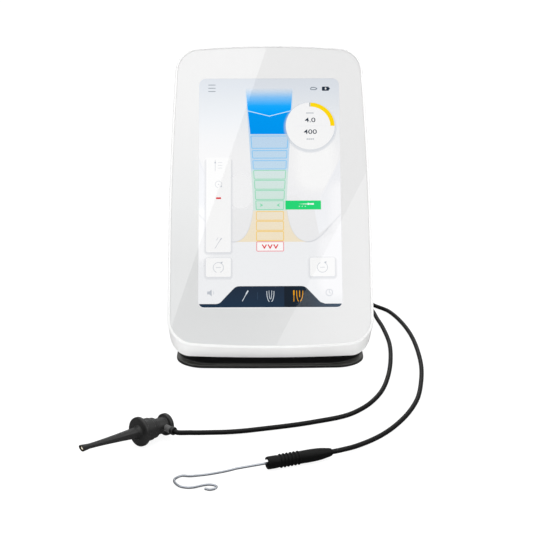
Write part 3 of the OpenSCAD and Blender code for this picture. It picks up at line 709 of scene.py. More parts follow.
class Ink:
    """Collects flat shapes of one colour and one layer into one piece."""

    def __init__(self, name, material, layer):
        self.name, self.material, self.z = name, material, layer_depth(layer)
        self.verts, self.faces = [], []

    def poly(self, points):
        first = len(self.verts)
        self.verts += [(x, y, self.z) for x, y in points]
        self.faces.append(tuple(range(first, first + len(points))))
        return self

    def strip(self, left, right, closed=False):
        first, n = len(self.verts), len(left)
        self.verts += [(x, y, self.z) for x, y in left + right]
        for i in range(n if closed else n - 1):
            a, b = first + i, first + (i + 1) % n
            self.faces.append((a, b, n + b, n + a))
        return self

    def rounded(self, x0, y0, x1, y1, radius, n=6):
        """Rounded rectangle."""
        radius = min(radius, (x1 - x0) / 2 - 1e-3, (y1 - y0) / 2 - 1e-3)
        centre = (x0 + x1) / 2
        outline = round_box((x1 - x0) / 2, y0, y1, radius, radius, n, 1, 1)
        return self.poly([(x + centre, y) for x, y in outline])

    def disc(self, cx, cy, radius, n):
        return self.poly(circle(cx, cy, radius, n))

    def arcband(self, cx, cy, inner, outer, start, end, n=48):
        """Band between two radii, from start to end in degrees."""
        angles = [math.radians(start + (end - start) * i / n) for i in range(n + 1)]
        return self.strip(*[[(cx + r * math.cos(a), cy + r * math.sin(a)) for a in angles]
                            for r in (inner, outer)])

    def line(self, points, width, closed=False):
        points = [Vector(point) for point in points]
        n = len(points)
        left, right = [], []
        for i, here in enumerate(points):
            if closed:
                before, after = points[i - 1], points[(i + 1) % n]
            else:
                before, after = points[max(0, i - 1)], points[min(n - 1, i + 1)]
            arrive, leave = here - before, after - here
            into = arrive.normalized() if arrive.length > 1e-9 else leave.normalized()
            away = leave.normalized() if leave.length > 1e-9 else into
            mean = (into + away).normalized()
            normal = Vector((-mean.y, mean.x))
            mitre = max(0.35, normal.dot(Vector((-into.y, into.x))))
            offset = normal * (width / 2 / mitre)
            left.append(tuple(here + offset))
            right.append(tuple(here - offset))
        return self.strip(left, right, closed)

    def done(self):
        build(self.name, (self.verts, self.faces), self.material, "console",
              matrix=DISPLAY.copy(), recalc=False)


def cloud(name, colour, centre, half, radius, blur, strength, layer):
    """Soft-edged rounded box, kept within the lit area."""
    material = soft_box("s_" + name, colour, centre, half, radius, blur, strength)
    x0 = max(centre[0] - half[0] - blur, -LIT_HALF + 0.1)
    x1 = min(centre[0] + half[0] + blur, LIT_HALF - 0.1)
    y0 = max(centre[1] - half[1] - blur, 0.5)
    y1 = min(centre[1] + half[1] + blur, LIT_HEIGHT - 0.3)
    Ink(name, material, layer).poly([(x0, y0), (x1, y0), (x1, y1), (x0, y1)]).done()


# ------------------------------------------------------------------ display: ground and roots
ground = glow("s_bg", (0.0, "#f0f1f3"), (0.25, "#eff0f2"), (0.50, "#f1f1f3"), (0.66, "#f2f2f3"),
              (0.74, "#eff0f2"), (0.82, "#e9ecf0"), (0.90, "#e2e6eb"), (0.963, "#dce1e8"),
              (1.0, "#d9dee5"))
Ink("ui_ground", ground, 0).rounded(
    -LIT_HALF + 0.02, 0.02, LIT_HALF - 0.02, LIT_HEIGHT - 0.02, 3.1, 10).done()

white = glow("s_white", "#fbfcfd")
card_white = glow("s_card", "#f8f8f8", "#f6f6f6", lo=14, hi=72)
grey = glow("s_grey", "#848d98")
pale_grey = glow("s_lgrey", "#bfc4cc")
dark = glow("s_dark", "#263343")

# pale root outlines either side of the canal, from the canal outwards
root_fill = glow("s_root", (0, "#ebebed"), (0.4, "#ececed"), (1, "#f1f1f3"), lo=28, hi=62)
root_line = glow("s_rootline", "#cdd0d4", "#e2e3e6", lo=30, hi=60)
left_root = (bezier((-7.6, 45.0), (-8.6, 36), (-11.2, 30.6), (-16.3, 30.4))
             + bezier((-16.3, 30.4), (-21.5, 30.4), (-24.5, 35.5), (-32.3, 43.2))[1:])
right_root = (bezier((7.7, 45.0), (8.7, 36), (11.6, 30.6), (17.0, 30.4))
              + bezier((17.0, 30.4), (22.6, 30.4), (25.5, 36.5), (32.3, 43.2))[1:])
ink = Ink("ui_roots", root_fill, 1)
ink.poly(left_root + [(-32.3, 69), (-28.6, 62), (-12, 52.0), (-8.0, 52)])
ink.poly(right_root + [(32.3, 69.5), (20.2, 45.4), (12, 52.0), (8.0, 52)])
ink.done()
soft_line = glow("s_rootsoft", "#e2e3e6", "#ecedef", lo=30, hi=60)
Ink("ui_root_lines_soft", soft_line, 2.5).line(left_root, 0.75).line(right_root, 0.75).done()
ink = Ink("ui_root_lines", root_line, 3).line(left_root, 0.2).line(right_root, 0.2)
ink.line([(-32.3, 69.6), (-31.6, 66.6), (-30.4, 63.8), (-28.9, 61.4)], 0.16)
ink.done()
lavender = glow("s_lav", (0, "#f4f5f8"), (0.5, "#f1f2f5"), (1, "#eeeff3"), lo=34, hi=70)
ink = Ink("ui_lavender", lavender, 2)
ink.poly([(32.36, 69.5), (32.36, 43.4), (25.4, 36.6), (22.2, 34.0), (20.2, 45.4)])
ink.poly([(-32.36, 69.5), (-28.6, 61.2), (-28.6, 40.4), (-32.36, 43.3)])
ink.done()

# name, colour, centre, half size, corner radius, blur, strength, layer
CLOUDS = (
    ("ui_light_right", "#f9f9f9", (21, 67), (5, 9), 4, 8, 0.95, 0.5),
    ("ui_light_edge", "#fafafc", (33, 46), (2, 9), 2, 7, 0.9, 2.7),
    ("ui_light_low", "#f9f9fb", (30, 20), (5, 12), 4, 6, 0.8, 2.8),
    ("ui_light_corner", "#fbfbfc", (-31, 34), (2, 10), 2, 5, 0.8, 2.8),
    ("ui_pulp_left", "#f3f3f4", (-13.2, 54), (4.4, 7.6), 4.2, 0.9, 0.95, 3.5),
)
for row in CLOUDS:
    cloud(*row)

# ------------------------------------------------------------------ display: canal column
halo = glow("s_halo", (0, "#d2e6df"), (0.31, "#d3e7e1"), (0.35, "#c1d9ee"), (0.7, "#bcd7ef"),
            (1, "#b4d5f2"), lo=44.7, hi=103, alpha=[(0, 0.92), (0.55, 0.95), (0.8, 0.7), (1.0, 0.0)])
Ink("ui_canal_halo", halo, 4).strip(
    [(-11.4, 103.2), (-10.2, 90), (-9.2, 76), (-8.4, 62), (-7.8, 52), (-7.6, 44.9)],
    [(11.4, 103.2), (10.2, 90), (9.2, 76), (8.4, 62), (7.8, 52), (7.7, 44.9)]).done()
flare = glow("s_flare", "#f1e3c6", "#eee4d0", lo=30, hi=45, alpha=0.96)
Ink("ui_flare", flare, 4).strip(left_root[:21], right_root[:21]).done()

blue_fade = glow("s_blue_fade", (0, "#029ffb"), (0.25, "#02a6ff"), (0.5, "#16aefd"),
                 (1, "#63bff4"), lo=90, hi=103.4,
                 alpha=[(0, 1.0), (0.36, 0.99), (0.66, 0.72), (0.85, 0.28), (1.0, 0.0)])
ink = Ink("ui_blue_fade", blue_fade, 6)
ink.strip([(-10.9, 103.4), (-9.95, 92.2)], [(10.9, 103.4), (9.95, 92.2)])
ink.poly([(-9.95, 92.25), (0, 89.7), (9.95, 92.25)])
ink.done()
Ink("ui_blue", glow("s_blue", "#0295f0", "#0299f2", lo=81, hi=92), 6).poly(
    [(-9.9, 92.1), (-8.8, 81.1), (8.8, 81.1), (9.9, 92.1), (0, 89.6)]).done()
Ink("ui_chevron", glow("s_chev", "#c9ecff"), 7).line(
    [(-9.95, 92.3), (0, 89.75), (9.95, 92.3)], 0.36).done()


def canal_half(y):
    """Half width of the column of cells, widening upwards."""
    return 6.15 + (max(0, y - 44.5) / 36.0) ** 1.15 * 2.45


def cells(colour, fill, outline, spans, width=0.34, marks=()):
    """Framed cells between pairs of heights, with marks in the colour of the frames."""
    fills = Ink("ui_%s_cells" % colour, fill, 6)
    frames = Ink("ui_%s_frames" % colour, outline, 7)
    for y0, y1 in spans:
        low, high = canal_half(y0), canal_half(y1)
        points = soften([(-low, y0), (low, y0), (high, y1), (-high, y1)], 0.45, 3)
        fills.poly(points)
        frames.line(points, width, closed=True)
    for mark in marks:
        frames.poly(mark)
    fills.done()
    frames.done()


cells("blue", glow("s_bc", "#c3dcee", "#bdd6ed", lo=64, hi=81),
      glow("s_bl", "#8dcbf4", "#72c0f4", lo=64, hi=81),
      ((74.35, 80.2), (69.65, 73.2), (64.5, 68.45)))
cells("green", glow("s_gc", "#cfe6db", "#d7e7e6", lo=45, hi=64),
      glow("s_gl", "#86dbb0", "#97dcba", lo=45, hi=64),
      ((59.7, 63.8), (54.95, 59.1), (50.15, 54.3), (45.35, 49.5)),
      marks=[[(side * 4.6, 48.35), (side * 3.0, 47.45), (side * 4.6, 46.55), (side * 4.15, 47.45)]
             for side in (-1, 1)])
cells("orange", glow("s_oc", "#f1e3c6", "#efe4cd", lo=30, hi=45),
      glow("s_ol", "#f6cb68", "#f5d080", lo=30, hi=45),
      ((40.45, 44.5), (35.75, 39.9), (31.0, 35.15)), width=0.36)
Ink("ui_limit_box", glow("s_white2", "#fdfbfb"), 6).rounded(-6.05, 26.1, 6.1, 30.4, 0.4).done()
outline = soften([(-6.05, 26.1), (6.1, 26.1), (6.1, 30.4), (-6.05, 30.4)], 0.45, 3)
Ink("ui_limit_line", glow("s_red_line", "#f08890"), 7).line(outline, 0.34, closed=True).done()
ink = Ink("ui_limit_sign", glow("s_red", "#e23b45"), 8)
for x in (-2.6, 0, 2.6):
    ink.line([(x - 0.95, 29.15), (x, 27.5), (x + 0.95, 29.15)], 0.52)
ink.done()

# green tag with a file sign
Ink("ui_tag", glow("s_tag", "#27d676", "#2bd97a", axis="X", lo=7, hi=23.3), 8).rounded(
    7.05, 45.35, 23.25, 49.55, 0.25).done()
ink = Ink("ui_tag_sign", white, 9)
ink.poly([(13.0, 47.95), (17.2, 48.15), (17.2, 47.75)])
ink.poly([(17.2, 48.55), (18.0, 48.2), (20.0, 48.35), (20.0, 47.55), (18.0, 47.7),
          (17.2, 47.35)])
for i in range(3):
    ink.disc(13.4 + i * 1.35, 46.85, 0.2, 16)
ink.done()

# ------------------------------------------------------------------ display: cards and signs
# x0, y0, x1, y1, drop of the shade below the card, how much lower its half height is
CARDS = (
    (-28.95, 25.7, -17.75, 70.0, 0.9, 0.6),
    (-28.95, 14.4, -17.75, 23.0, 0.5, 0.1),
    (17.95, 14.5, 29.1, 23.05, 0.5, 0.1),
)
for i, (x0, y0, x1, y1, drop, trim) in enumerate(CARDS):
    cloud("ui_card_shade_%d" % i, "#d9dbdf", centre=((x0 + x1) / 2, (y0 + y1) / 2 - drop),
          half=((x1 - x0) / 2, (y1 - y0) / 2 - trim), radius=0.8, blur=1.5, strength=0.7,
          layer=4.5 + 0.3 * i)
ink = Ink("ui_cards", card_white, 6)
for card in CARDS:
    ink.rounded(*card[:4], 0.7)
ink.done()

ink = Ink("ui_signs", grey, 8)
for i in range(3):
    ink.line([(-28.2, 104.85 - i * 1.55), (-24.85, 104.85 - i * 1.55)], 0.34)
ink.done()
ink = Ink("ui_signs_pale", pale_grey, 8)
for i in range(3):
    ink.line([(-23.6, 67.6 - 1.3 * i), (-21.7, 67.6 - 1.3 * i)], 0.16)
ink.line([(-24.9, 68.9), (-24.9, 63.6)], 0.2)
ink.disc(-24.9, 67.6, 0.42, 20)
ink.arcband(-23.35, 57.3, 1.42, 1.6, -40, 260)
ink.poly([(-22.5, 56.55), (-21.6, 56.35), (-22.35, 55.75)])
ink.disc(-23.35, 57.3, 0.22, 16)
ink.line([(-25.0, 27.3), (-22.2, 31.9)], 0.2)
ink.line([(-24.3, 31.2), (-23.4, 32.4)], 0.2)
ink.line([(-22.6, 31.3), (-21.8, 32.2)], 0.42)
for x, start in ((-23.35, -70), (23.5, 110)):
    ink.arcband(x, 18.6, 2.2, 2.42, start, start + 320)
    ink.line([(x - 1.1, 18.6), (x + 1.1, 18.6)], 0.2)
    ink.poly([(x + 0.9, 21.1), (x + 2.0, 21.3), (x + 1.5, 20.2)])
ink.poly([(-28.3, 6.4), (-27.4, 6.4), (-26.3, 5.5), (-26.3, 8.6), (-27.4, 7.7), (-28.3, 7.7)])
ink.line([(-25.5, 6.3), (-25.3, 7.05), (-25.5, 7.8)], 0.18)
ink.arcband(26.4, 7.05, 1.35, 1.6, 0, 360)
ink.line([(26.4, 7.05), (26.4, 8.2)], 0.22)
ink.line([(26.4, 7.05), (27.2, 6.6)], 0.22)
ink.done()
Ink("ui_red_bar", glow("s_redbar", "#e0323c"), 8).rounded(-24.5, 50.4, -22.2, 51.2, 0.1).done()
ink = Ink("ui_status", dark, 8)
ink.rounded(24.45, 101.95, 27.65, 103.95, 0.3)
ink.rounded(27.6, 102.6, 28.1, 103.4, 0.1)
ink.done()
Ink("ui_status_pale", glow("s_mid", "#6f7b89"), 8).line(
    [(19.1, 102.9), (19.6, 103.6), (21.0, 103.6), (22.1, 103.1), (21.6, 102.5), (19.4, 102.5),
     (19.1, 102.9)], 0.36).done()
Ink("ui_status_bolt", white, 9).poly(
    [(26.3, 103.75), (25.6, 102.95), (26.1, 102.95), (25.9, 102.25), (26.7, 103.1),
     (26.2, 103.1)]).done()

# ------------------------------------------------------------------ display: round gauge
GAUGE_X, GAUGE_Y, GAUGE_R = 18.8, 84.95, 11.25
cloud("ui_gauge_shade", "#c6ccd5", centre=(GAUGE_X, GAUGE_Y - 0.7), half=(GAUGE_R, GAUGE_R),
      radius=GAUGE_R, blur=1.5, strength=0.55, layer=9)
Ink("ui_gauge", glow("s_gauge", "#f7f7f7", "#f5f5f6", lo=73, hi=96), 10).disc(
    GAUGE_X, GAUGE_Y, GAUGE_R, 96).done()
Ink("ui_gauge_arc", glow("s_yellow", "#ffd60c", "#ffdc16", lo=84, hi=96), 11).arcband(
    GAUGE_X, GAUGE_Y, GAUGE_R - 1.95, GAUGE_R - 0.02, 0, 89, 60).done()
left, right = GAUGE_X - 0.28, GAUGE_X + 0.12
high, low = GAUGE_Y + GAUGE_R - 0.05, GAUGE_Y + GAUGE_R - 1.9
Ink("ui_gauge_tick", glow("s_tick", "#9aa3ad"), 11).poly(
    [(left, high), (right, high), (right, low), (left, low)]).done()
Ink("ui_gauge_rule", glow("s_rule", "#e8eaee"), 11).line(
    [(GAUGE_X - 7.2, GAUGE_Y), (GAUGE_X + 7.2, GAUGE_Y)], 0.14).done()


def digits(name, text, y):
    """Gauge digits in Blender's own face, widened."""
    height, widen = 2.15, 1.34
    curve = bpy.data.curves.new(name, "FONT")
    curve.body = text
    curve.size = height * 1.42 * MM
    curve.align_x = "CENTER"
    curve.align_y = "CENTER"
    curve.offset = 0.02 * MM
    curve.resolution_u = 8
    writing = bpy.data.objects.new(name + "_t", curve)
    bpy.context.scene.collection.objects.link(writing)
    bpy.context.view_layer.update()
    depsgraph = bpy.context.evaluated_depsgraph_get()
    mesh = bpy.data.meshes.new_from_object(writing.evaluated_get(depsgraph))
    bpy.data.objects.remove(writing, do_unlink=True)
    for vertex in mesh.vertices:
        vertex.co = (vertex.co.x * widen + GAUGE_X * MM, vertex.co.y + y * MM,
                     layer_depth(12) * MM)
    mesh.materials.clear()
    mesh.materials.append(dark)
    piece = bpy.data.objects.new(name, mesh)
    bpy.context.scene.collection.objects.link(piece)
    piece.matrix_world = DISPLAY.copy()
    attach(piece, "console")


digits("ui_digits_upper", "4.0", GAUGE_Y + 2.75)
digits("ui_digits_lower", "400", GAUGE_Y - 2.9)
ink = Ink("ui_gauge_marks", glow("s_pale", "#a6adb5"), 12)
for y in (GAUGE_Y + 6.2, GAUGE_Y - 6.3):
    for shift in (-1.4, -0.5, 0.4, 1.3):
        x = GAUGE_X + shift
        ink.rounded(x - 0.3, y - 0.28, x + 0.3, y + 0.28, 0.12)
ink.done()

# ------------------------------------------------------------------ display: lower bar
bar = glow("s_bar", (0, "#23364b"), (0.55, "#263447"), (1, "#253142"), lo=0, hi=10)
top = [(-31.9, 2.0)]                       # left half of the upper edge
top += bezier((-24.6, 2.0), (-22.6, 2.0), (-22.2, 2.9), (-20.8, 4.4), 10)
top += bezier((-17.4, 8.0), (-16.0, 9.5), (-15.4, 10.05), (-13.6, 10.05), 10)
low = bezier((31.9, 2.0), (31.6, 0.9), (30.8, 0.45), (29.4, 0.42), 8)
low += bezier((-29.4, 0.42), (-30.8, 0.45), (-31.6, 0.9), (-31.9, 2.0), 8)
Ink("ui_bar", bar, 9).poly(top + [(-x, y) for x, y in reversed(top)] + low[1:-1]).done()
bar_dark = glow("s_bar2", (0, "#1f2630"), (0.4, "#1c2b39"), (1, "#23405a"), axis="X", lo=6, hi=32)
Ink("ui_bar_dark", bar_dark, 10).poly(
    [(6.2, 10.0), (6.2, 0.45), (29.2, 0.45), (30.6, 0.7), (31.7, 1.95), (24.6, 1.95),
     (22.4, 2.75), (20.75, 4.35), (17.35, 7.95), (15.2, 9.8), (13.6, 10.0)]).done()
Ink("ui_bar_rule", glow("s_barrule", "#40566d"), 11).line([(-5.75, 7.3), (-5.75, 3.9)], 0.12).done()
ink = Ink("ui_bar_signs", glow("s_iconw", "#d5dde5"), 11)
ink.line([(-12.6, 3.2), (-10.9, 6.4)], 0.3)
ink.line([(-10.9, 6.4), (-10.0, 8.0)], 0.62)
for side in (-1, 1):
    ink.line(bezier((side * 1.6, 7.8), (side * 1.7, 5.4), (side * 1.1, 3.2), (side * 0.45, 3.0),
                    10), 0.28)
for side in (-1, 1):
    ink.line(bezier((side * 0.62, 8.0), (side * 0.6, 6.2), (side * 0.5, 4.8), (side * 0.12, 4.1),
                    8), 0.24)
ink.done()
ink = Ink("ui_bar_signs_warm", glow("s_iconw2", "#e9a11c"), 11)
ink.line([(10.5, 3.0), (10.5, 6.6)], 0.3)
ink.line([(10.5, 5.9), (10.5, 8.1)], 0.62)
ink.line(bezier((11.75, 8.0), (11.75, 5.6), (11.95, 3.6), (12.65, 3.1), 10), 0.34)
ink.line(bezier((14.55, 7.9), (14.55, 5.6), (14.1, 3.5), (13.3, 3.1), 10), 0.34)
ink.line([(13.1, 8.0), (13.1, 5.0)], 0.42)
ink.done()

# ------------------------------------------------------------------ leads
LEAD_R = 1.0


def lead(name, stands_for, start, stations, end, radius=LEAD_R, up=(0, 0, 1)):
    """Cable with straight ends; a station without a height lies on the floor."""
    path = [start] + spline([(*station, LEAD_R)[:3] for station in stations], 10) + [end]
    build(name, tube(path, radius, 28, up), MATS["cable_black"], "leads",
          stands_for, sharp=60)


lead("lead_to_clip", "clip_lead", (32, 61.4, 1.7), [
    (32.8, 61.4, 1.7), (37, 60.2, 1.2), (44, 54.5), (50, 45), (53.4, 34), (54.8, 22), (56.6, 7),
    (57.5, -13), (56, -33), (53, -52), (48.6, -68.8), (42.6, -81.8), (35.9, -90.7),
    (29.2, -96.1), (19.2, -100.4), (9, -104), (-5, -107.75), (-11.8, -109.8, 1.2),
    (-18.7, -112.1, 1.8), (-25.3, -114.5, 2.8), (-29.7, -116.1, 3.5), (-33.4, -117.5, 4.2),
    (-36, -118.4, 4.6), (-37.6, -118.6, 4.78), (-38.94, -117.71, 4.8),
], (-39.88, -116.79, 4.8))
lead("lead_to_hook", "hook_lead", (32, 66.6, 1.7), [
    (32.8, 66.6, 1.7), (38, 64.8, 1.2), (46, 57), (51, 49), (55.6, 41), (62, 32), (66.6, 16),
    (69.2, -2), (69.9, -21), (69.2, -41), (66.8, -59.5), (63.2, -76.8), (58, -91),
    (52, -102.5), (45.8, -111.6), (39.5, -118.4), (33, -124.6, 1.5), (28.4, -129, 2.4),
    (24.1, -131.65, 2.72),
], (22.3, -132.32, 2.72))
lead("lead_main", "main_lead", (PLUG_X, REAR_Y + 24, PLUG_Z), [
    (PLUG_X, REAR_Y + 25.2, PLUG_Z), (PLUG_X, REAR_Y + 27.6, PLUG_Z - 0.6),
    (PLUG_X, 75, PLUG_Z - 3), (PLUG_X + 1, 80.5, 21), (PLUG_X + 4, 81, 11.5),
    (PLUG_X + 9, 78, 4.6), (PLUG_X + 15.5, 72.5, 1.6), (8, 67.5, 1.2), (15, 64.6, 1.6),
    (18.2, 64, 1.9),
], (19.4, 64, 1.9), radius=1.15, up=(1, 0, 0))

# moulded split: a soft flat wedge, slightly drawn in at its ends
rings = []
for i in range(13):
    u = i / 12
    ends = 1.0 - 0.10 * max(0, 1 - u / 0.12) ** 2 - 0.06 * max(0, (u - 0.88) / 0.12) ** 2
    half_width = (1.85 + (4.15 - 1.85) * (3 * u * u - 2 * u ** 3)) * ends
    half_height = (1.8 - 0.1 * u) * ends
    ring = []
    for j in range(40):
        c, s = math.cos(2 * math.pi * j / 40), math.sin(2 * math.pi * j / 40)
        ring.append((19.4 + 12.6 * u, 64 + half_width * math.copysign(abs(c) ** 0.8, c),
                     1.84 - 0.12 * u + half_height * math.copysign(abs(s) ** 0.8, s)))
    rings.append(ring)
build("lead_split", skin(rings), MATS["cable_black"], "leads", "lead_splitter",
      sharp=50)

# ------------------------------------------------------------------ plug
# turned profiles are (radius, distance); here the distance is back from the rear wall
PLUG = Matrix.Translation((PLUG_X, REAR_Y, PLUG_Z)) @ Matrix.Rotation(-math.pi / 2, 4, "X")
profile = [(0.01, 0.3), (3.9, 0.3), (4.2, 0.6)]
for i in range(4):                         # ring grooves of the grip
    u = 4 + i * 2.4
    profile += [(4.2, u - 0.05), (3.8, u + 0.15), (3.8, u + 0.85), (4.2, u + 1.05)]
profile += [(4.2, 14.4), (3.7, 15.0), (0.01, 15.0)]
grip = lathe(soften(profile, 0.16, 3, closed=False), loop=False)
build("plug_body", placed(grip, PLUG), MATS["lead_plastic"], "leads",
      "plug_grip", sharp=50)
profile = [(0.01, 15.0), (3.2, 15.0)]
for i in range(4):                         # ribs of the tapering boot
    u = 17 + i * 1.6
    rib = 3.2 - (u - 15) * 1.4 / 9
    profile += [(rib, u), (1.75, u + 0.12), (1.75, u + 0.6), (rib - 0.12, u + 0.72)]
profile += [(1.85, 23.8), (1.6, 24.0), (0.01, 24.0)]
boot = lathe(soften(profile, 0.12, 3, closed=False), loop=False)
build("plug_relief", placed(boot, PLUG), MATS["cable_black"], "leads",
      "plug_boot", sharp=50)

# ------------------------------------------------------------------ file clip
# clip frame: local Z runs along the clip towards its nose
CLIP = (Matrix.Translation((-52.6, -120.05, 5.96))
        @ Matrix.Rotation(math.radians(225.7), 4, "Z")
        @ Matrix.Rotation(math.radians(84.15), 4, "Y"))


def slanted(mesh):
    """Cuts the mouth of the nose obliquely."""
    return [(x, y, z - 0.3 * x * max(0.0, z - 25.5) / 2.9) for x, y, z in mesh[0]], mesh[1]


def second_material(piece, material, chosen):
    """Give a second material to the faces that chosen(index, face) picks."""
    piece.data.materials.append(material)
    for i, face in enumerate(piece.data.polygons):
        face.material_index = 1 if chosen(i, face) else 0


NOSE = [                                   # closed section: bore, nose, grip flange and skirt
    (0.5, 1.6), (0.5, 25.9), (0.95, 26.1), (1.16, 28.95), (1.32, 29.05), (1.4, 28.7), (1.2, 26.8),
    (1.04, 25.2), (1.07, 23.6), (1.1, 22), (1.23, 18.8), (1.4, 15.2), (1.6, 11.8), (1.83, 8.1),
    (2.05, 5.2), (2.3, 2.2), (2.6, 1.2), (2.95, 0.92), (5.5, 0.9), (5.82, 0.68), (5.9, 0.4),
    (5.9, -0.4), (5.82, -0.68), (5.5, -0.9), (4.85, -0.9), (4.7, -1.1), (4.6, -1.6),
    (4.56, -4.9), (4.2, -5.25), (4.15, -6.95), (4.08, -7.25), (3.9, -7.4), (3.4, -7.4),
    (3.38, -0.1), (2.9, 0.4), (1.6, 0.4), (1.6, 1.6)]
build("clip_shell_piece", placed(slanted(lathe(soften(NOSE, 0.2), 120)), CLIP),
      MATS["lead_plastic"], "clip_shell", "clip_body", sharp=40)

# plunger, with a stub at its side whose lower part is greyer
PLUNGER = [(0.01, -5.2), (3.1, -5.2), (3.28, -5.4), (3.28, -12.4), (3.45, -12.62), (4.25, -12.7),
           (4.5, -12.95), (4.5, -14.25), (4.3, -14.5), (3.9, -14.55), (0.01, -14.55)]
STUB_PROFILE = [(0.01, 1.5), (1.45, 1.5), (1.45, 6.3), (1.62, 6.42), (1.68, 6.6), (1.68, 7.75),
                (1.55, 8.0), (1.08, 8.0), (1.08, 6.9), (0.01, 6.9)]
STUB = (CLIP @ Matrix.Translation((0, 0, -11.3)) @ Matrix.Rotation(math.pi / 2, 4, "Y")
        @ Matrix.Rotation(-math.pi / 2, 4, "X"))
barrel = lathe(soften(PLUNGER, 0.2, 3, closed=False), loop=False)
stub = lathe(soften(STUB_PROFILE, 0.1, 2, closed=False), 64, loop=False)
plunger = build("clip_plunger_piece", joined(placed(barrel, CLIP), placed(stub, STUB)),
                MATS["lead_plastic"], "leads", sharp=40)
to_stub = STUB.inverted()
second_material(plunger, MATS["stub"], lambda i, face: (
    i >= len(barrel[1]) and (to_stub @ (face.center / MM)).z < 6.2))
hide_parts("clip_plunger")

# hooked wire, the formed eye that fills the mouth of the nose, and a near-white dome in it whose
# colour is a painted glint
path = [(0, 0, -6.2), (0, 0, 27.6)]
for i in range(1, 13):
    a = math.pi * i / 12
    path.append((0.4 * (1 - math.cos(a)), 0, 27.7 + 0.6 * math.sin(a)))
wire = tube(path, lambda u: 0.38 if u < 0.1 else 0.24, 20, up=(1, 0, 0))
gold_part = joined(wire, lathe(circle(0.7, 28.3, 0.28, 20), 48))
glint_dome = lathe([(0.01, 28.72), (0.3, 28.7), (0.52, 28.6), (0.66, 28.42), (0.66, 27.9),
              (0.01, 27.9)], 32, loop=False)
eye = build("clip_hook_piece", placed(slanted(joined(gold_part, glint_dome)), CLIP), MATS["gold"],
            "leads", sharp=50)
# painted glint: the dome's near-white colour stands in for a highlight in the mouth of the nose
second_material(eye, surface("m_glint_dome", "#fdf6e4", rough=0.3, vary=0.03, scale=300, spec=0.6,
                             coat=0.5), lambda i, face: i >= len(gold_part[1]))
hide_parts("clip_hook")

# spring inside the barrel: shortens as the shell slides back
turns = [math.radians(27 * i / 4) for i in range(241)]
coil = tube([(2.6 * math.cos(a), 2.6 * math.sin(a), -4.9 + i * 4.95 / 240)
             for i, a in enumerate(turns)], 0.25, 12, up=(1, 0, 0))
spring = build("clip_spring_piece", placed(coil, CLIP), MATS["spring_steel"], "leads",
               "clip_spring", sharp=60)
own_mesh(spring)

# ------------------------------------------------------------------ hook holder
HOLDER_START = Vector((22.76, -132.15, 2.72))
HOLDER_TURN = 20.3                         # degrees from -X towards -Y
HOLDER = (Matrix.Translation(HOLDER_START)
          @ Matrix.Rotation(math.radians(180 + HOLDER_TURN), 4, "Z")
          @ Matrix.Rotation(math.pi / 2, 4, "Y"))
profile = [(0.01, 0.6), (1.03, 0.6), (1.03, 0.05), (1.2, 0.0), (1.36, 0.1), (1.48, 0.32),
           (1.66, 0.9), (1.77, 1.5), (1.88, 2.2), (2.08, 3.3), (2.27, 4.5), (2.39, 6.0),
           (2.47, 7.6), (2.5, 9.2), (2.5, 10.6), (2.46, 13.2)]
RIB = ((2.3, 0), (2.34, 0.12), (2.62, 0.2), (2.72, 0.34), (2.72, 0.56), (2.62, 0.7),
       (2.34, 0.78), (2.3, 0.9))
for i in range(6):
    u = 13.65 + i * 1.45
    profile += [(radius, u + step) for radius, step in RIB]
profile += [(2.4, 22.6), (2.46, 23.1), (2.48, 24.4), (2.46, 26.2), (2.4, 26.6), (2.26, 26.85),
            (2.1, 26.95), (1.92, 26.88), (1.75, 26.7), (1.62, 26.3), (1.5, 25.2), (0.85, 24.9),
            (0.85, 22), (1.42, 22), (1.42, 9), (0.01, 9)]
holder = build("holder_piece", placed(lathe(profile, loop=False), HOLDER), MATS["holder"])
slit = placed(box((-0.7, -3.4, 22.9), (0.7, -1.15, 29)), HOLDER)
carve(holder, [cutter("c_slit", slit)], solver="EXACT")
smooth(holder, 45)
attach(holder, "leads", "hook_holder")

# ------------------------------------------------------------------ lip hook
turn = math.radians(HOLDER_TURN)
forward = Vector((-math.cos(turn), -math.sin(turn), 0))
path = [tuple(HOLDER_START + forward * distance) for distance in (11, 26.3, 33, 37)]
path += spline([
    tuple(HOLDER_START + forward * 39), (-18.3, -147.2, 2.3), (-24.7, -148.2, 1.6),
    (-31, -147.9, 0.8), (-34.4, -147, 0.5), (-36.6, -148.9, 0.47), (-37.1, -150.9, 0.47),
    (-36.4, -153.1, 0.47), (-34.6, -155.4, 0.47), (-32, -156.4, 0.48), (-29.6, -156.4, 0.6),
    (-26.8, -155.7, 0.9), (-24.2, -155.3, 1.1), (-22, -155.8, 1.1), (-21.1, -156.7, 0.9),
    (-21.9, -157.8, 0.7), (-23.6, -158.1, 0.5), (-25.4, -157.3, 0.48)], 10)
build("lip_hook_piece", tube(path, 0.45), MATS["hook_steel"], "hook", "lip_hook",
      sharp=60)

# ------------------------------------------------------------------ floor and world
scene = bpy.context.scene
scene.view_settings.view_transform = "Standard"
scene.view_settings.look = "None"
scene.view_settings.exposure = 0
scene.view_settings.gamma = 1


def stage_object(name, data):
    item = bpy.data.objects.new(name, data)
    scene.collection.objects.link(item)
    return item


def floor_material():
    """One look for the light on other surfaces, one for the camera and one for mirrors."""
    graph = new_material("stage_floor")
    rays = graph.node("LightPath").outputs
    looks = []
    for albedo, strength in ((0.8, 0.49), (0.2, 0.90), (0.2, 0.04)):
        paint = graph.node("BsdfDiffuse", {0: rgba(albedo)})
        light = graph.node("Emission", {1: strength})
        looks.append(graph.node("AddShader", {0: paint, 1: light}))
    seen = graph.mix(rays["Is Camera Ray"], looks[0], looks[1])
    graph.node("OutputMaterial", {0: graph.mix(rays["Is Glossy Ray"], seen, looks[2])})
    return graph.owner


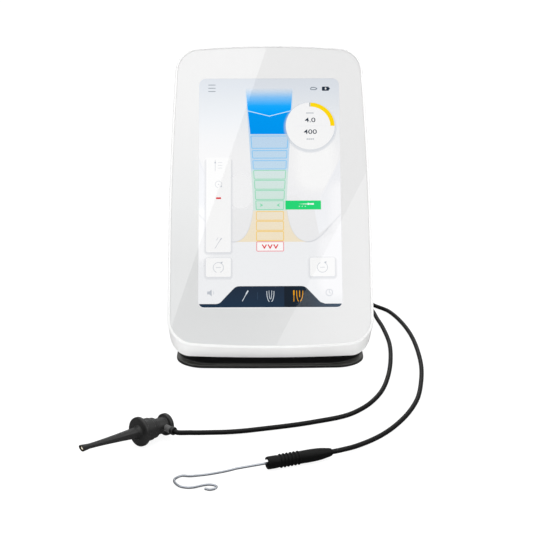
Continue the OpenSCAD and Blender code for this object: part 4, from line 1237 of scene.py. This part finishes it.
floor_mat = floor_material()
mesh = bpy.data.meshes.new("floor")
FLOOR_HALF = 9.0                           # metres
mesh.from_pydata([(x * FLOOR_HALF, y * FLOOR_HALF, 0)
                  for x, y in ((-1, -1), (1, -1), (1, 1), (-1, 1))], [], [(0, 1, 2, 3)])
floor = stage_object("floor", mesh)
mesh.materials.append(floor_mat)

scene.world = bpy.data.worlds.new("studio")
graph = Graph(scene.world)
rays = graph.node("LightPath").outputs
height = graph.node("SeparateXYZ", {0: graph.coords("Generated")}).outputs["Z"]
room = graph.ramp(((0.0, (0.30, 0.30, 0.31, 1)), (0.35, (0.55, 0.55, 0.56, 1)),
                   (1.0, (0.95, 0.95, 0.96, 1))), height)
# mirrors see a darker room low down
mirrored_room = graph.ramp(((0.0, 0.05), (0.3, 0.28), (0.6, 0.8), (1.0, 1.0)), height)
lighting = graph.mix(rays["Is Glossy Ray"], graph.node("Background", {0: room, 1: 0.8}),
                     graph.node("Background", {0: mirrored_room}))
backdrop = graph.node("Background", {0: rgba(1), 1: 1.05})
graph.node("OutputWorld", {0: graph.mix(rays["Is Camera Ray"], lighting, backdrop)})

# ------------------------------------------------------------------ lights
# name, place and target in metres, width and height in metres, power in watts
LIGHTS = (
    ("key_top", (0.05, -0.15, 1.25), (0, 0.0, 0.05), 1.3, 1.1, 7.0),
    ("fill_left", (-1.15, -0.55, 0.75), (0, -0.02, 0.06), 0.9, 0.9, 3.0),
    ("fill_right", (1.15, -0.45, 0.8), (0, -0.02, 0.06), 0.9, 0.9, 3.9),
    ("front_low", (0.0, -1.5, 0.55), (0, -0.04, 0.05), 1.3, 0.5, 1.6),
    ("back", (0.0, 1.2, 0.9), (0, 0.0, 0.05), 1.2, 0.6, 2.4),
)
for name, place, target, width, height, power in LIGHTS:
    light = bpy.data.lights.new(name, "AREA")
    light.shape = "RECTANGLE"
    light.size, light.size_y = width, height
    light.energy = power
    lamp = stage_object(name, light)
    lamp.location = place
    aim = Vector(target) - Vector(place)
    lamp.rotation_euler = aim.to_track_quat("-Z", "Y").to_euler()

# ------------------------------------------------------------------ camera
AZIMUTH, ELEVATION, ROLL = math.radians(-0.415), math.radians(17.75), math.radians(-0.101)
CAMERA_TARGET, CAMERA_DISTANCE = Vector((-1.395, 2.7, 35.035)), 591.81
back = Vector((math.sin(AZIMUTH) * math.cos(ELEVATION),
               -math.cos(AZIMUTH) * math.cos(ELEVATION), math.sin(ELEVATION)))
right = (-back).cross(Vector((0, 0, 1))).normalized()
up = right.cross(-back)
camera_right = right * math.cos(ROLL) + up * math.sin(ROLL)
camera_up = up * math.cos(ROLL) - right * math.sin(ROLL)
eye_point = CAMERA_TARGET + back * CAMERA_DISTANCE
lens = bpy.data.cameras.new("cam")
lens.sensor_width = 36
lens.lens = 82.5527955
lens.clip_start, lens.clip_end = 0.01, 50
camera = stage_object("cam", lens)
pose = Matrix((camera_right, camera_up, back)).transposed().to_4x4()
pose.translation = eye_point * MM
camera.matrix_world = pose
scene.camera = camera

# ------------------------------------------------------------------ cards mirrored in the glass
FACE_NORMAL = Vector((0, -COS_LEAN, SIN_LEAN))


def mirrored(x, y, distance):
    """Point that the camera sees mirrored at (x, y) of the display."""
    point = Vector(face_point(x, LIT_BOTTOM + y, 0))
    ray = (point - eye_point).normalized()
    return point + (ray - 2 * ray.dot(FACE_NORMAL) * FACE_NORMAL) * distance


def mirror_card(name, corners, distance, strength):
    """Card that only mirrors see; corners are where its reflection falls on the display."""
    mesh = bpy.data.meshes.new(name)
    mesh.from_pydata([tuple(mirrored(x, y, distance) * MM) for x, y in corners], [],
                     [tuple(range(len(corners)))])
    piece = stage_object(name, mesh)
    graph = new_material("stage_" + name)
    graph.node("OutputMaterial", {0: graph.node("Emission", {1: strength})})
    mesh.materials.append(graph.owner)
    piece.visible_camera = False
    piece.visible_diffuse = False
    piece.visible_shadow = False
    piece.visible_transmission = False


# the slanted edge between the left card and the dark flag gives the diagonal sheen
mirror_card("sheen_left", [(34.1, 230), (-50, -26.2), (-120, -26.2), (-120, 230)],
            distance=700, strength=1.3)
mirror_card("sheen_right", [(-2.5, -26.2), (38.6, 52), (60, 92.7), (60, -26.2)],
            distance=680, strength=0.85)
mirror_card("sheen_flag", [(34.1, 230), (-50, -26.2), (60, -26.2), (90, 230)],
            distance=700, strength=0.0)
